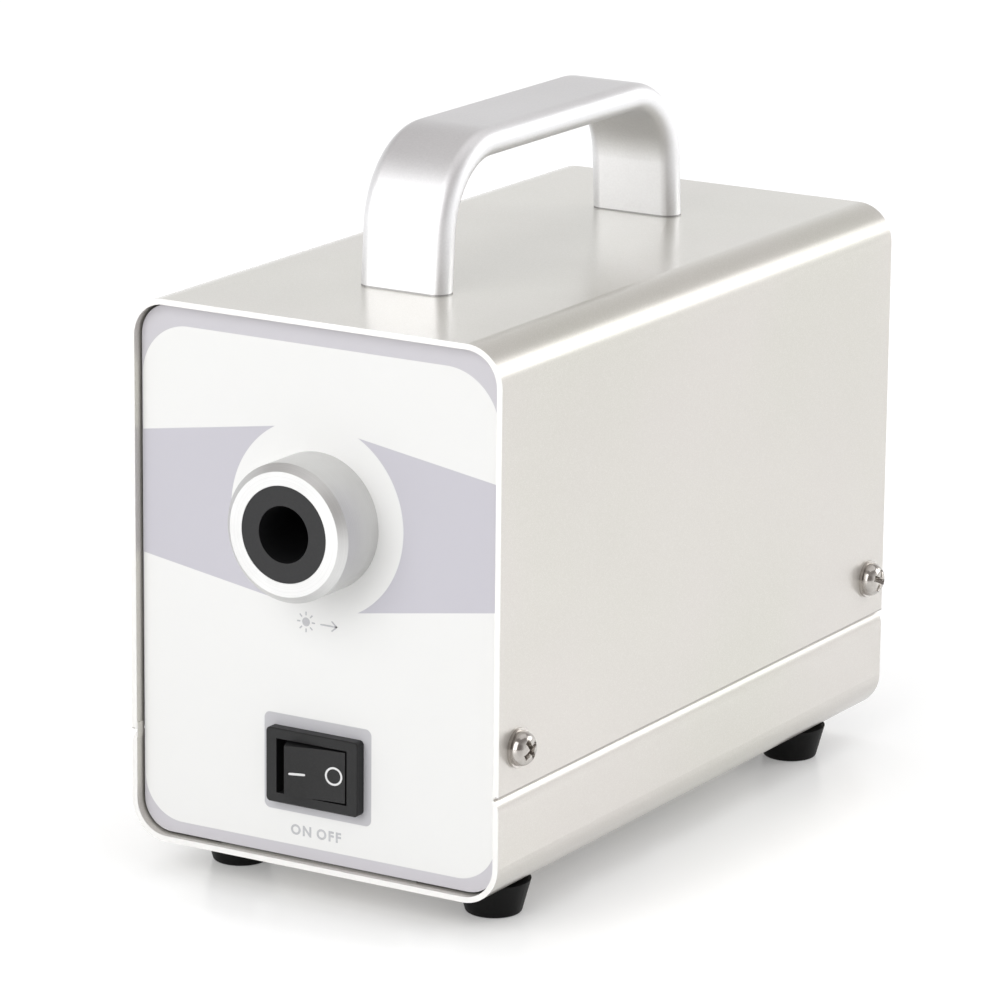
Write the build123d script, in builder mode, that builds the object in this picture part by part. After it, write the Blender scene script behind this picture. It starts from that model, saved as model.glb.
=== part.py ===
"""Fiber optic illuminator: a fan-cooled LED light source in a folded sheet case.

Millimetres. +X is the right side seen from the front, +Y runs from the front to the back, +Z is up.
The origin is on the bench, under the middle of the overall box: the light port's face in front and
the dimmer knob's face behind set its ends.
"""
import os
from math import acos, asin, cos, degrees, radians, sin, sqrt, tan

from build123d import *

os.makedirs("parts", exist_ok=True)

# ---------------------------------------------------------------- driving dimensions
# Case
case_width = 75.0            # over the side walls
case_depth = 140.0           # front rim to back rim
case_height = 97.5           # without the feet
sheet = 1.0                  # steel sheet of the cover and the tray
corner_radius = 7.0          # outside bend of the four long edges
split_height = 19.3          # tray wall, above the underside of the case
lip_radius = 3.6             # roll of the tray wall towards the flange that the cover slides over
slide_gap = 0.1              # cover to tray flange
seam_gap = 0.3               # cover edge above the tray lip
flange_rise = 12.0           # tray flange above the split
flange_setback = 4.4         # tray flange behind each rim, clear of the panels
# Panels
panel_recess = 1.9           # panel faces behind the rims
panel_thickness = 1.5
panel_gap = 0.35             # round the panel edges
label_thickness = 0.25
panel_foot_length = 12.0
panel_screw_span = 30.0
# Feet
foot_height = 6.0
foot_top_diameter = 13.0
foot_bottom_diameter = 9.8
foot_left_inset = 13.1       # foot axes from the case sides
foot_right_inset = 9.5
foot_front_inset = 14.6      # foot axes from the case rims
foot_back_inset = 17.8
foot_web = 2.6               # rubber between the screw head and the case
foot_nut_lift = 0.3          # keeps the foot nuts clear of the tray's bend
panel_foot_width = case_width - 2 * foot_left_inset - 8.8  # panel flange, between the foot nuts
# Fasteners
m3 = 3.0
hole_clearance = 0.4         # clearance holes, on the diameter
thread_gap = 0.05            # kept between a screw and its thread, on the radius
cover_screw_inset = 6.2      # cover screw axis from the rim
cover_screw_rise = 7.8       # above the split
washer_thickness = 0.6
washer_diameter = 7.0
cover_head_diameter = 6.2
cover_head_height = 2.3
clinch_nut_diameter = 4.8
clinch_nut_height = 3.0
nut_height = 2.4
# Handle
handle_span = 80.0           # between its two screws
handle_height = 26.8         # above the case
handle_width = 17.7
handle_thickness = 5.2
handle_edge_radius = 2.5
handle_bend_radius = 14.8    # on the centreline
handle_lean = 4.0            # degrees, each leg leans inwards
handle_thread_depth = 9.0
# Light port
port_share = 0.225           # optical axis in the room that the fan has above the inlet
collar_reach = 8.8           # collar face in front of the rim
collar_diameter = 24.4
collar_neck_diameter = 18.0
collar_neck_length = 10.0    # behind the label
collar_chamfer = 1.3
bush_diameter = 17.0
bush_head_length = 9.0
bush_tail_diameter = 13.0
light_guide_bore = 10.0
collar_nut_size = 24.0       # across flats
collar_nut_height = 4.0
# Optics
lens_tube_gap = 1.0          # tube in front of it, behind the collar neck
lens_tube_diameter = 34.0
lens_tube_bore = 28.0
lens_tube_length = 30.0
lens_seat_bore = 24.0
lens_seat_depth = 12.0       # lens shoulder ahead of the heat sink
lens_edge = 2.4
lens_front_radius = 17.0
lens_gap = 0.05
ring_thickness = 2.5
tube_flange_thickness = 2.5
lead_notch = 6.0             # square notch that lets the LED leads out
led_board_diameter = 20.0
led_board_thickness = 1.6
led_screw_circle = 15.6
led_diameter = 9.0
led_height = 1.4
# Heat sink and its bracket
heat_sink_size = case_width / 1.5
tube_flange_diameter = heat_sink_size - 4.0
tube_screw_circle = heat_sink_size - 10.5
heat_sink_base = 6.0
heat_sink_fin_length = 46.0
heat_sink_fin = 1.5
heat_sink_fins = 11
bracket_sheet = 1.5
bracket_length = 38.0
bracket_inside = heat_sink_size + 7.0  # between its legs
bracket_foot = 7.0
bracket_floor_screw_span = 24.0
bracket_top_screw_span = 30.0
bracket_screw_depth = 5.0    # into the heat sink
# Fan
fan_size = heat_sink_size
fan_depth = 15.0
fan_hole_pitch = fan_size - 10.0
fan_duct_diameter = fan_size - 2.4
fan_flange = 3.0
fan_strut = 2.6
fan_tip_gap = 0.7
fan_blades = 7
fan_blade_thickness = 1.0
fan_hub_diameter = 21.0
fan_hub_wall = 1.2
fan_shaft_diameter = 2.0
shaft_gap = 0.05             # running clearance on the radius
fan_bearing_diameter = 6.0
fan_bearing_length = 9.0
fan_stator_diameter = 15.6
fan_stator_length = 6.0
fan_stator_poles = 4
fan_cup_gap = 0.5            # rotor cup to the hub support, and rotor behind the frame face
blade_root_chord = 11.0
blade_root_angle = 30.0
blade_tip_chord = 13.0
blade_tip_angle = 42.0
guard_wire = 1.5
guard_rings = 4
guard_eye = 8.0
# Rocker switch
switch_height = 18.0         # axis above the underside of the case
bezel_width = 18.8
bezel_height = 13.4
bezel_thickness = 2.0
bezel_corner = 0.8
bezel_chamfer = 0.2
switch_body_width = 17.2
switch_body_height = 12.2
switch_body_depth = 17.0     # behind the bezel
rocker_width = 14.4          # opening in the bezel
rocker_height = 9.8
rocker_gap = 0.35
rocker_tilt = 11.5           # degrees each way from level
rocker_depth = 11.0          # pocket depth
rocker_pivot_depth = 5.5     # pivot behind the bezel face
rocker_reach = 6.76          # ends of the rocker face in front of the pivot
rocker_half_face = 5.62
rocker_dish = 0.45           # middle of the rocker face behind its ends
rocker_shoulder = 6.4        # half width of the rocker where its flanks end
rocker_shoulder_depth = 3.0  # in front of the pivot
rocker_back = 3.4            # back of the rocker behind the pivot
rocker_back_width = 9.0
rocker_pin_diameter = 2.0
rocker_pin_length = 0.7      # into each wall of the body
tab_width = 4.8
tab_thickness = 0.8
tab_length = 7.0
switch_tab_pitch = 8.0
# Power inlet with fuse drawer
inlet_offset = case_width * 14 / 75  # to the right of the middle
inlet_height = 20.0          # above the underside of the case
inlet_flange_width = 30.0
inlet_flange_height = 33.0
inlet_flange_thickness = 2.0
inlet_body_width = 27.0
inlet_body_height = 29.0
inlet_body_depth = 24.0
cavity_width = 24.5
cavity_height = 16.5
cavity_depth = 16.0
cavity_chamfer = 4.0
cavity_rise = 4.6            # cavity centre above the inlet centre
pin_thickness = 2.0
pin_height = 4.0
pin_reach = 13.0             # out of the cavity floor
pin_pitch = 7.0
pin_offset = 2.0             # live and neutral below, earth above the cavity centre
drawer_width = 22.6
drawer_height = 7.4
drawer_depth = 15.0
drawer_drop = 9.7            # drawer centre below the inlet centre
drawer_gap = 0.2
drawer_grip = 1.0            # drawer front in front of the inlet flange
fuse_diameter = 5.2
fuse_length = 20.0
fuse_gap = 0.15
# Dimmer
dimmer_offset = case_width * 18 / 75  # to the left of the middle
dimmer_height = 20.0
dimmer_body_diameter = 16.0
dimmer_body_depth = 9.0
dimmer_bush_diameter = 7.0
dimmer_bush_length = 7.0     # behind the case, through the panel
dimmer_shaft_diameter = 5.0
dimmer_nut_size = 10.0
dimmer_nut_height = 2.0
knob_reach = 13.0            # knob face behind the back rim
knob_diameter = 17.0
knob_gap = 1.2               # knob over the nut
dimmer_lug_pitch = 5.0
# Driver board
board_width = 40.0
board_length = 46.0
board_thickness = 1.6
board_front_gap = 4.0        # board behind the front of the heat sink
standoff_height = 5.0
standoff_size = 5.0
standoff_inset = 4.0
transformer_width = 20.0
transformer_length = 18.0
transformer_height = 15.0
input_capacitor_diameter = 12.5
input_capacitor_height = 20.0
output_capacitor_diameter = 8.0
output_capacitor_height = 12.0
choke_diameter = 14.0
choke_bore = 6.0
choke_height = 7.0
terminal_length = 8.0
terminal_height = 10.0
terminal_room = board_width / 2 - standoff_inset - 3.0  # from the middle to the board screws
terminal_width = terminal_room - 1.0
terminal_offset = terminal_room / 2 + 0.5  # terminal blocks either side of the middle
terminal_wire_rise = 4.0     # wire entries above the board
terminal_wire_pitch = 5.0
# Tray vents
vent_width = 2.5
vent_length = 22.0
vent_pitch = 6.0
vent_count = 4
# Wires
wire_diameter = 2.0
lead_diameter = 1.4
channel_gap = 2.7            # mains wires outside the bracket legs
earth_stud_height = 9.0
earth_stud_offset = -1.0
earth_stud_setback = 7.0     # behind the driver board
boot_width = 6.4
boot_thickness = 2.8
boot_length = 9.0

# ---------------------------------------------------------------- places
half_width = case_width / 2
inner_half_width = half_width - sheet
case_front = collar_reach - (collar_reach + case_depth + knob_reach) / 2
case_back = case_front + case_depth
case_bottom = foot_height
case_top = case_bottom + case_height
floor_top = case_bottom + sheet

label_front = case_front + panel_recess
panel_front = label_front + label_thickness
panel_inner = panel_front + panel_thickness
rear_face = case_back - panel_recess
rear_inner = rear_face - panel_thickness

lip_angle = degrees(acos(1 - (sheet + slide_gap) / lip_radius))
lip_top = case_bottom + split_height
lip_start = lip_top - lip_radius * sin(radians(lip_angle))
flange_outer = inner_half_width - slide_gap
flange_inner = flange_outer - sheet

fan_floor = inlet_height + inlet_body_height / 2 + fan_size / 2
fan_ceiling = case_height - sheet - fan_size / 2
port_z = case_bottom + fan_floor + port_share * (fan_ceiling - fan_floor)
collar_face = case_front - collar_reach
neck_end = label_front + collar_neck_length
tube_front = neck_end + lens_tube_gap
heat_sink_front = tube_front + lens_tube_length
fins_front = heat_sink_front + heat_sink_base
heat_sink_bottom = port_z - heat_sink_size / 2
lens_seat = heat_sink_front - lens_seat_depth

fan_back = rear_inner
fan_front = fan_back - fan_depth
switch_z = case_bottom + switch_height
bezel_front = label_front - bezel_thickness
switch_back = label_front + switch_body_depth
inlet_z = case_bottom + inlet_height
inlet_inner = rear_face - inlet_body_depth
cavity_z = inlet_z + cavity_rise
cavity_floor = rear_face + inlet_flange_thickness - cavity_depth
drawer_z = inlet_z - drawer_drop
dimmer_z = case_bottom + dimmer_height
dimmer_back = rear_face + dimmer_bush_length

board_front = heat_sink_front + board_front_gap
board_back = board_front + board_length
board_bottom = floor_top + standoff_height
board_top = board_bottom + board_thickness

foot_left = foot_left_inset - half_width
foot_right = half_width - foot_right_inset
foot_front = case_front + foot_front_inset
foot_back = case_back - foot_back_inset
foot_points = {
    "foot_front_left": (foot_left, foot_front),
    "foot_front_right": (foot_right, foot_front),
    "foot_rear_left": (foot_left, foot_back),
    "foot_rear_right": (foot_right, foot_back),
}
panel_foot_y = panel_inner + panel_foot_length / 2
rear_foot_y = rear_inner - panel_foot_length / 2
panel_screw_points = [
    (side * panel_screw_span / 2, y) for side in (-1, 1) for y in (panel_foot_y, rear_foot_y)
]
bracket_leg_outer = bracket_inside / 2 + bracket_sheet
bracket_middle = heat_sink_front + bracket_length / 2
bracket_screw_x = bracket_inside / 2 - bracket_foot / 2
bracket_screw_points = [
    (side * bracket_screw_x, bracket_middle + end * bracket_floor_screw_span / 2)
    for side in (-1, 1)
    for end in (-1, 1)
]
bracket_top_points = [
    (side * bracket_top_screw_span / 2, heat_sink_front + heat_sink_base / 2) for side in (-1, 1)
]
board_screw_points = [
    (side * (board_width / 2 - standoff_inset), y)
    for side in (-1, 1)
    for y in (board_front + standoff_inset, board_back - standoff_inset)
]
cover_screw_z = case_bottom + split_height + cover_screw_rise
cover_screw_ys = (case_front + cover_screw_inset, case_back - cover_screw_inset)
earth_point = (earth_stud_offset, board_back + earth_stud_setback)
fan_screw_points = [
    (side * fan_hole_pitch / 2, port_z + end * fan_hole_pitch / 2) for side in (-1, 1) for end in (-1, 1)
]

BACK = (0, 1, 0)
FRONT = (0, -1, 0)
TO_RIGHT = (0, 90, 0)        # rotations that turn a screw's head from +Z
TO_LEFT = (0, -90, 0)
TO_BACK = (-90, 0, 0)
TO_FRONT = (90, 0, 0)
DOWN = (180, 0, 0)


# ---------------------------------------------------------------- helpers
def upright(y):
    """Drawing plane at depth y: X to the right, Z up."""
    return Plane(origin=(0, y, 0), x_dir=(1, 0, 0), z_dir=(0, -1, 0))


def backwards(x, y, z):
    """Plane whose normal points to the back, with Z up."""
    return Plane(origin=(x, y, z), x_dir=(-1, 0, 0), z_dir=(0, 1, 0))


def finish(piece, name):
    """Label a finished piece and write its STEP file."""
    piece.part.label = name
    export_step(piece.part, f"parts/{name}.step")


def pan_screw(diameter, length, head_diameter, head_height):
    """Cross-recess pan head screw: head above the origin, shank below it."""
    recess = head_diameter * 0.55
    with BuildPart() as screw:
        Cylinder(head_diameter / 2, head_height, align=(Align.CENTER, Align.CENTER, Align.MIN))
        fillet(screw.edges().sort_by(Axis.Z)[-1], radius=head_height * 0.6)
        Cylinder(diameter / 2 - thread_gap, length, align=(Align.CENTER, Align.CENTER, Align.MAX))
        with Locations((0, 0, head_height)):
            Box(recess, recess * 0.22, head_height, mode=Mode.SUBTRACT)
            Box(recess * 0.22, recess, head_height, mode=Mode.SUBTRACT)
    return screw.part


def hex_nut(size, height, bore):
    """Hexagon nut standing on the origin, with its bore at thread size."""
    with BuildPart() as nut:
        with BuildSketch():
            RegularPolygon(size / 2, 6, major_radius=False)
            Circle(bore / 2, mode=Mode.SUBTRACT)
        extrude(amount=height)
    return nut.part


def ring(outer, inner, height):
    """Flat ring standing on the origin."""
    with BuildPart() as body:
        with BuildSketch():
            Circle(outer / 2)
            Circle(inner / 2, mode=Mode.SUBTRACT)
        extrude(amount=height)
    return body.part


def wire(points, diameter=wire_diameter):
    """Round wire along straight runs joined by the largest arcs that the runs allow."""
    corners = [Vector(*point) for point in points]
    radii = []
    for before, here, after in zip(corners, corners[1:], corners[2:]):
        turn = radians((here - before).get_angle(after - here))
        shorter = min((here - before).length, (after - here).length)
        radii.append(0.45 * shorter / tan(turn / 2))
    with BuildPart() as run:
        with BuildLine() as route:
            FilletPolyline(*corners, radius=radii)
        with BuildSketch(Plane(origin=route.line @ 0, z_dir=route.line % 0)):
            Circle(diameter / 2)
        sweep()
    return run.part


# ---------------------------------------------------------------- case
with BuildPart() as lower_tray:
    with BuildSketch(upright(case_front)):
        with Locations((0, case_bottom + case_height / 2)):
            RectangleRounded(case_width, case_height, corner_radius)
            RectangleRounded(
                case_width - 2 * sheet, case_height - 2 * sheet, corner_radius - sheet, mode=Mode.SUBTRACT
            )
        with Locations((0, lip_start)):
            Rectangle(case_width, case_height, align=(Align.CENTER, Align.MIN), mode=Mode.SUBTRACT)
        with BuildLine():
            lip_centre = (half_width - lip_radius, lip_start)
            lip_out = CenterArc(lip_centre, lip_radius, 0, lip_angle)
            lip_in = CenterArc(lip_centre, lip_radius - sheet, 0, lip_angle)
            Line(lip_out @ 0, lip_in @ 0)
            Line(lip_out @ 1, lip_in @ 1)
        make_face()
        with BuildLine():
            mirror(lip_out, about=Plane.YZ)
            mirror(lip_in, about=Plane.YZ)
            Line((-(lip_out @ 0).X, (lip_out @ 0).Y), (-(lip_in @ 0).X, (lip_in @ 0).Y))
            Line((-(lip_out @ 1).X, (lip_out @ 1).Y), (-(lip_in @ 1).X, (lip_in @ 1).Y))
        make_face()
    extrude(amount=case_depth, dir=BACK)
    # In front of and behind the flange the lip is trimmed flush, so that the panels clear it
    for rim in (case_front, case_back - flange_setback):
        with BuildSketch(upright(rim)):
            with Locations((0, lip_start)):
                Rectangle(2 * inner_half_width, split_height, align=(Align.CENTER, Align.MIN))
        extrude(amount=flange_setback, dir=BACK, mode=Mode.SUBTRACT)
    with BuildSketch(upright(case_front + flange_setback)):
        flange_root = lip_top - sheet
        for side in (-1, 1):
            with Locations((side * (flange_outer - sheet / 2), flange_root)):
                Rectangle(sheet, flange_rise + sheet, align=(Align.CENTER, Align.MIN))
    extrude(amount=case_depth - 2 * flange_setback, dir=BACK)
    with BuildSketch(Plane.XY.offset(case_bottom)):
        with Locations(*foot_points.values(), *panel_screw_points, *bracket_screw_points):
            Circle((m3 + hole_clearance) / 2)
        with Locations(*board_screw_points, earth_point):
            Circle(m3 / 2)
        with Locations((0, bracket_middle)):
            with GridLocations(vent_pitch, board_length / 2, vent_count, 2):
                SlotOverall(vent_length * 0.8, vent_width, rotation=90)
    extrude(amount=sheet, mode=Mode.SUBTRACT)
    for side in (-1, 1):
        with BuildSketch(Plane.YZ.offset(side * (flange_outer - sheet / 2))):
            with Locations(*[(y, cover_screw_z) for y in cover_screw_ys]):
                Circle((m3 + hole_clearance) / 2)
        extrude(amount=sheet, both=True, mode=Mode.SUBTRACT)
finish(lower_tray, "lower_tray")

with BuildPart() as upper_cover:
    with BuildSketch(upright(case_front)):
        with Locations((0, case_bottom + case_height / 2)):
            RectangleRounded(case_width, case_height, corner_radius)
            RectangleRounded(
                case_width - 2 * sheet, case_height - 2 * sheet, corner_radius - sheet, mode=Mode.SUBTRACT
            )
        with Locations((0, lip_top + seam_gap)):
            Rectangle(case_width, case_height, align=(Align.CENTER, Align.MAX), mode=Mode.SUBTRACT)
    extrude(amount=case_depth, dir=BACK)
    with BuildSketch(Plane.YZ):
        with Locations(*[(y, cover_screw_z) for y in cover_screw_ys]):
            Circle((m3 + hole_clearance) / 2)
    extrude(amount=case_width, both=True, mode=Mode.SUBTRACT)
    with BuildSketch(Plane.XY.offset(case_top - sheet)):
        with Locations(*[(0, (case_front + case_back) / 2 + end * handle_span / 2) for end in (-1, 1)]):
            Circle((m3 + hole_clearance) / 2)
    extrude(amount=sheet, mode=Mode.SUBTRACT)
finish(upper_cover, "upper_cover")

cover_screw = pan_screw(
    m3, washer_thickness + sheet * 2 + clinch_nut_height + 1.0, cover_head_diameter, cover_head_height
)
cover_washer = ring(washer_diameter, m3 + hole_clearance, washer_thickness)
clinch_nut = ring(clinch_nut_diameter, m3, clinch_nut_height)
right_screws = [(1, y, TO_RIGHT) for y in cover_screw_ys]
left_screws = [(-1, y, TO_LEFT) for y in cover_screw_ys]


def side_places(distance):
    """Where the cover fasteners sit: distance from the middle plane, facing outwards."""
    return [
        Location((side * distance, y, cover_screw_z), turn) for side, y, turn in right_screws + left_screws
    ]


with BuildPart() as cover_screws:
    with Locations(*side_places(half_width + washer_thickness)):
        add(cover_screw)
finish(cover_screws, "cover_screws")

with BuildPart() as clinch_nuts:
    with Locations(*side_places(flange_inner - clinch_nut_height)):
        add(clinch_nut)
finish(clinch_nuts, "clinch_nuts")

# ---------------------------------------------------------------- feet
foot_screw_seat = foot_height - foot_web
for foot_name, (foot_place_x, foot_place_y) in foot_points.items():
    with BuildPart() as foot:
        with Locations((foot_place_x, foot_place_y, 0)):
            Cone(
                foot_bottom_diameter / 2,
                foot_top_diameter / 2,
                foot_height,
                align=(Align.CENTER, Align.CENTER, Align.MIN),
            )
        fillet(foot.edges().filter_by(GeomType.CIRCLE).sort_by(Axis.Z)[0], radius=0.6)
        with BuildSketch():
            with Locations((foot_place_x, foot_place_y)):
                Circle((m3 + hole_clearance) / 2)
        extrude(amount=foot_height, mode=Mode.SUBTRACT)
        with BuildSketch():
            with Locations((foot_place_x, foot_place_y)):
                Circle(m3 + hole_clearance / 2)
        extrude(amount=foot_screw_seat, mode=Mode.SUBTRACT)
    finish(foot, foot_name)

foot_screw = pan_screw(m3, foot_web + sheet + nut_height + 0.6, 5.6, 2.0)
with BuildPart() as foot_screws:
    with Locations(*[Location((x, y, foot_screw_seat), DOWN) for x, y in foot_points.values()]):
        add(foot_screw)
finish(foot_screws, "foot_screws")

# ---------------------------------------------------------------- handle
handle_middle = (case_front + case_back) / 2
handle_line_z = case_top + handle_height - handle_thickness / 2
handle_drop = handle_line_z - case_top + handle_thickness
handle_foot_y = handle_span / 2 + handle_thickness * tan(radians(handle_lean))
handle_top_y = handle_foot_y - handle_drop * tan(radians(handle_lean))
handle_start_z = case_top - handle_thickness
with BuildPart() as handle:
    with BuildLine(Plane.YZ) as handle_path:
        FilletPolyline(
            (handle_middle - handle_foot_y, handle_start_z),
            (handle_middle - handle_top_y, handle_line_z),
            (handle_middle + handle_top_y, handle_line_z),
            (handle_middle + handle_foot_y, handle_start_z),
            radius=handle_bend_radius,
        )
    with BuildSketch(Plane(origin=handle_path.line @ 0, x_dir=(1, 0, 0), z_dir=handle_path.line % 0)):
        RectangleRounded(handle_width, handle_thickness, handle_edge_radius)
    sweep()
    split(bisect_by=Plane.XY.offset(case_top), keep=Keep.TOP)
    with BuildSketch(Plane.XY.offset(case_top)):
        with Locations(*[(0, handle_middle + end * handle_span / 2) for end in (-1, 1)]):
            Circle(m3 / 2)
    extrude(amount=handle_thread_depth, mode=Mode.SUBTRACT)
finish(handle, "handle")

handle_screw = pan_screw(m3, washer_thickness + sheet + handle_thread_depth - 1.0, 5.6, 2.0)
handle_washer = ring(washer_diameter, m3 + hole_clearance, washer_thickness)
handle_points = [(0, handle_middle + end * handle_span / 2) for end in (-1, 1)]
with BuildPart() as handle_screws:
    screw_seat = case_top - sheet - washer_thickness
    with Locations(*[Location((x, y, screw_seat), DOWN) for x, y in handle_points]):
        add(handle_screw)
finish(handle_screws, "handle_screws")

with BuildPart() as flat_washers:
    with Locations(*side_places(half_width)):
        add(cover_washer)
    with Locations(*[(x, y, screw_seat) for x, y in handle_points]):
        add(handle_washer)
finish(flat_washers, "flat_washers")

# ---------------------------------------------------------------- panels
panel_width = 2 * (inner_half_width - panel_gap)
panel_height = case_height - 2 * (sheet + panel_gap)
panel_radius = corner_radius - sheet - panel_gap
panel_middle_z = case_bottom + case_height / 2
neck_hole = collar_neck_diameter / 2 + hole_clearance / 4

with BuildPart() as front_panel:
    with BuildSketch(upright(panel_front)):
        with Locations((0, panel_middle_z)):
            RectangleRounded(panel_width, panel_height, panel_radius)
        with Locations((0, port_z)):
            Circle(neck_hole, mode=Mode.SUBTRACT)
        with Locations((0, switch_z)):
            Rectangle(switch_body_width + 0.2, switch_body_height + 0.2, mode=Mode.SUBTRACT)
    extrude(amount=panel_thickness, dir=BACK)
    with BuildSketch(Plane.XY.offset(floor_top)):
        with Locations((0, panel_foot_y - panel_thickness / 2)):
            Rectangle(panel_foot_width, panel_foot_length + panel_thickness)
        with Locations(*[(side * panel_screw_span / 2, panel_foot_y) for side in (-1, 1)]):
            Circle((m3 + hole_clearance) / 2, mode=Mode.SUBTRACT)
    extrude(amount=panel_thickness)
finish(front_panel, "front_panel")

with BuildPart() as front_label:
    with BuildSketch(upright(label_front)):
        with Locations((0, panel_middle_z)):
            RectangleRounded(panel_width, panel_height, panel_radius)
        with Locations((0, port_z)):
            Circle(neck_hole, mode=Mode.SUBTRACT)
        with Locations((0, switch_z)):
            Rectangle(switch_body_width + 0.2, switch_body_height + 0.2, mode=Mode.SUBTRACT)
    extrude(amount=label_thickness, dir=BACK)
finish(front_label, "front_label")

with BuildPart() as rear_panel:
    with BuildSketch(upright(rear_inner)):
        with Locations((0, panel_middle_z)):
            RectangleRounded(panel_width, panel_height, panel_radius)
        with Locations((0, port_z)):
            Circle(fan_duct_diameter / 2, mode=Mode.SUBTRACT)
        with Locations(*fan_screw_points):
            Circle((m3 + hole_clearance) / 2, mode=Mode.SUBTRACT)
        with Locations((inlet_offset, inlet_z)):
            Rectangle(inlet_body_width + 0.2, inlet_body_height + 0.2, mode=Mode.SUBTRACT)
        with Locations((-dimmer_offset, dimmer_z)):
            Circle(dimmer_bush_diameter / 2 + hole_clearance / 4, mode=Mode.SUBTRACT)
    extrude(amount=panel_thickness, dir=BACK)
    with BuildSketch(Plane.XY.offset(floor_top)):
        with Locations((0, rear_foot_y + panel_thickness / 2)):
            Rectangle(panel_foot_width, panel_foot_length + panel_thickness)
        with Locations(*[(side * panel_screw_span / 2, rear_foot_y) for side in (-1, 1)]):
            Circle((m3 + hole_clearance) / 2, mode=Mode.SUBTRACT)
    extrude(amount=panel_thickness)
finish(rear_panel, "rear_panel")

# ---------------------------------------------------------------- light port
head_end = collar_face + bush_head_length
with BuildPart() as light_collar:
    with BuildSketch(backwards(0, collar_face, port_z)):
        Circle(collar_diameter / 2)
    extrude(amount=label_front - collar_face)
    chamfer(light_collar.edges().group_by(Axis.Y)[0], length=collar_chamfer)
    with BuildSketch(backwards(0, label_front, port_z)):
        Circle(collar_neck_diameter / 2)
    extrude(amount=collar_neck_length)
    with BuildSketch(backwards(0, collar_face, port_z)):
        Circle(bush_diameter / 2)
    extrude(amount=bush_head_length, mode=Mode.SUBTRACT)
    with BuildSketch(backwards(0, head_end, port_z)):
        Circle(bush_tail_diameter / 2)
    extrude(amount=neck_end - head_end, mode=Mode.SUBTRACT)
finish(light_collar, "light_collar")

with BuildPart() as light_guide_bush:
    with BuildSketch(backwards(0, collar_face, port_z)):
        Circle(bush_diameter / 2 - thread_gap)
    extrude(amount=bush_head_length)
    with BuildSketch(backwards(0, head_end, port_z)):
        Circle(bush_tail_diameter / 2 - thread_gap)
    extrude(amount=neck_end - head_end)
    with BuildSketch(backwards(0, collar_face, port_z)):
        Circle(light_guide_bore / 2)
    extrude(amount=neck_end - collar_face, mode=Mode.SUBTRACT)
finish(light_guide_bush, "light_guide_bush")

collar_nut_part = hex_nut(collar_nut_size, collar_nut_height, collar_neck_diameter + 2 * thread_gap)
with BuildPart() as collar_nut:
    with Locations(Location((0, panel_inner, port_z), TO_BACK)):
        add(collar_nut_part)
finish(collar_nut, "collar_nut")

# ---------------------------------------------------------------- optics
with BuildPart() as lens_tube:
    with BuildSketch(backwards(0, tube_front, port_z)):
        Circle(lens_tube_diameter / 2)
    extrude(amount=lens_tube_length)
    with BuildSketch(backwards(0, heat_sink_front - tube_flange_thickness, port_z)):
        Circle(tube_flange_diameter / 2)
    extrude(amount=tube_flange_thickness)
    with BuildSketch(backwards(0, tube_front, port_z)):
        Circle(lens_tube_bore / 2)
    extrude(amount=lens_seat - tube_front, mode=Mode.SUBTRACT)
    with BuildSketch(backwards(0, lens_seat, port_z)):
        Circle(lens_seat_bore / 2)
    extrude(amount=lens_seat_depth, mode=Mode.SUBTRACT)
    with BuildSketch(backwards(0, heat_sink_front - tube_flange_thickness, port_z)):
        with PolarLocations(tube_screw_circle / 2, 3, start_angle=90):
            Circle((m3 + hole_clearance) / 2)
    extrude(amount=tube_flange_thickness, mode=Mode.SUBTRACT)
    # Notch for the LED leads, in the lower wall just ahead of the flange
    led_lead_y = heat_sink_front - tube_flange_thickness - lead_notch / 2
    with Locations((0, led_lead_y, port_z - lens_tube_diameter / 2)):
        Box(lead_notch, lead_notch, lens_tube_diameter - lens_seat_bore + 2.0, mode=Mode.SUBTRACT)
finish(lens_tube, "lens_tube")

lens_edge_front = lens_seat - lens_edge
lens_radius = lens_tube_bore / 2 - lens_gap
lens_sagitta = lens_front_radius - sqrt(lens_front_radius**2 - lens_radius**2)
with BuildPart() as condenser_lens:
    with BuildSketch(Plane.XY.offset(port_z)):
        with BuildLine():
            lens_tip = (0, lens_edge_front - lens_sagitta)
            lens_rim = (lens_radius, lens_edge_front)
            RadiusArc(lens_tip, lens_rim, lens_front_radius)
            Polyline(lens_rim, (lens_radius, lens_seat), (0, lens_seat), lens_tip)
        make_face()
    revolve(axis=Axis((0, 0, port_z), (0, 1, 0)))
finish(condenser_lens, "condenser_lens")

ring_bore = lens_tube_bore - 3.0
ring_bulge = sqrt(lens_front_radius**2 - (ring_bore / 2) ** 2) - (lens_front_radius - lens_sagitta)
retaining_ring = ring(lens_tube_bore - 2 * thread_gap, ring_bore, ring_thickness)
with BuildPart() as lens_retaining_ring:
    with Locations(Location((0, lens_edge_front - ring_bulge - ring_thickness, port_z), TO_BACK)):
        add(retaining_ring)
finish(lens_retaining_ring, "lens_retaining_ring")

tube_screw = pan_screw(m3, tube_flange_thickness + heat_sink_base - 1.5, 5.2, 2.0)
led_screw = pan_screw(m3, led_board_thickness + heat_sink_base - 1.5, 5.2, 2.0)
tube_screw_places = [
    (tube_screw_circle / 2 * cos(radians(a)), port_z + tube_screw_circle / 2 * sin(radians(a)))
    for a in (90, 210, 330)
]
led_screw_places = [(side * led_screw_circle / 2, port_z) for side in (-1, 1)]
with BuildPart() as lens_tube_screws:
    seat = heat_sink_front - tube_flange_thickness
    with Locations(*[Location((x, seat, z), TO_FRONT) for x, z in tube_screw_places]):
        add(tube_screw)
finish(lens_tube_screws, "lens_tube_screws")

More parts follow.
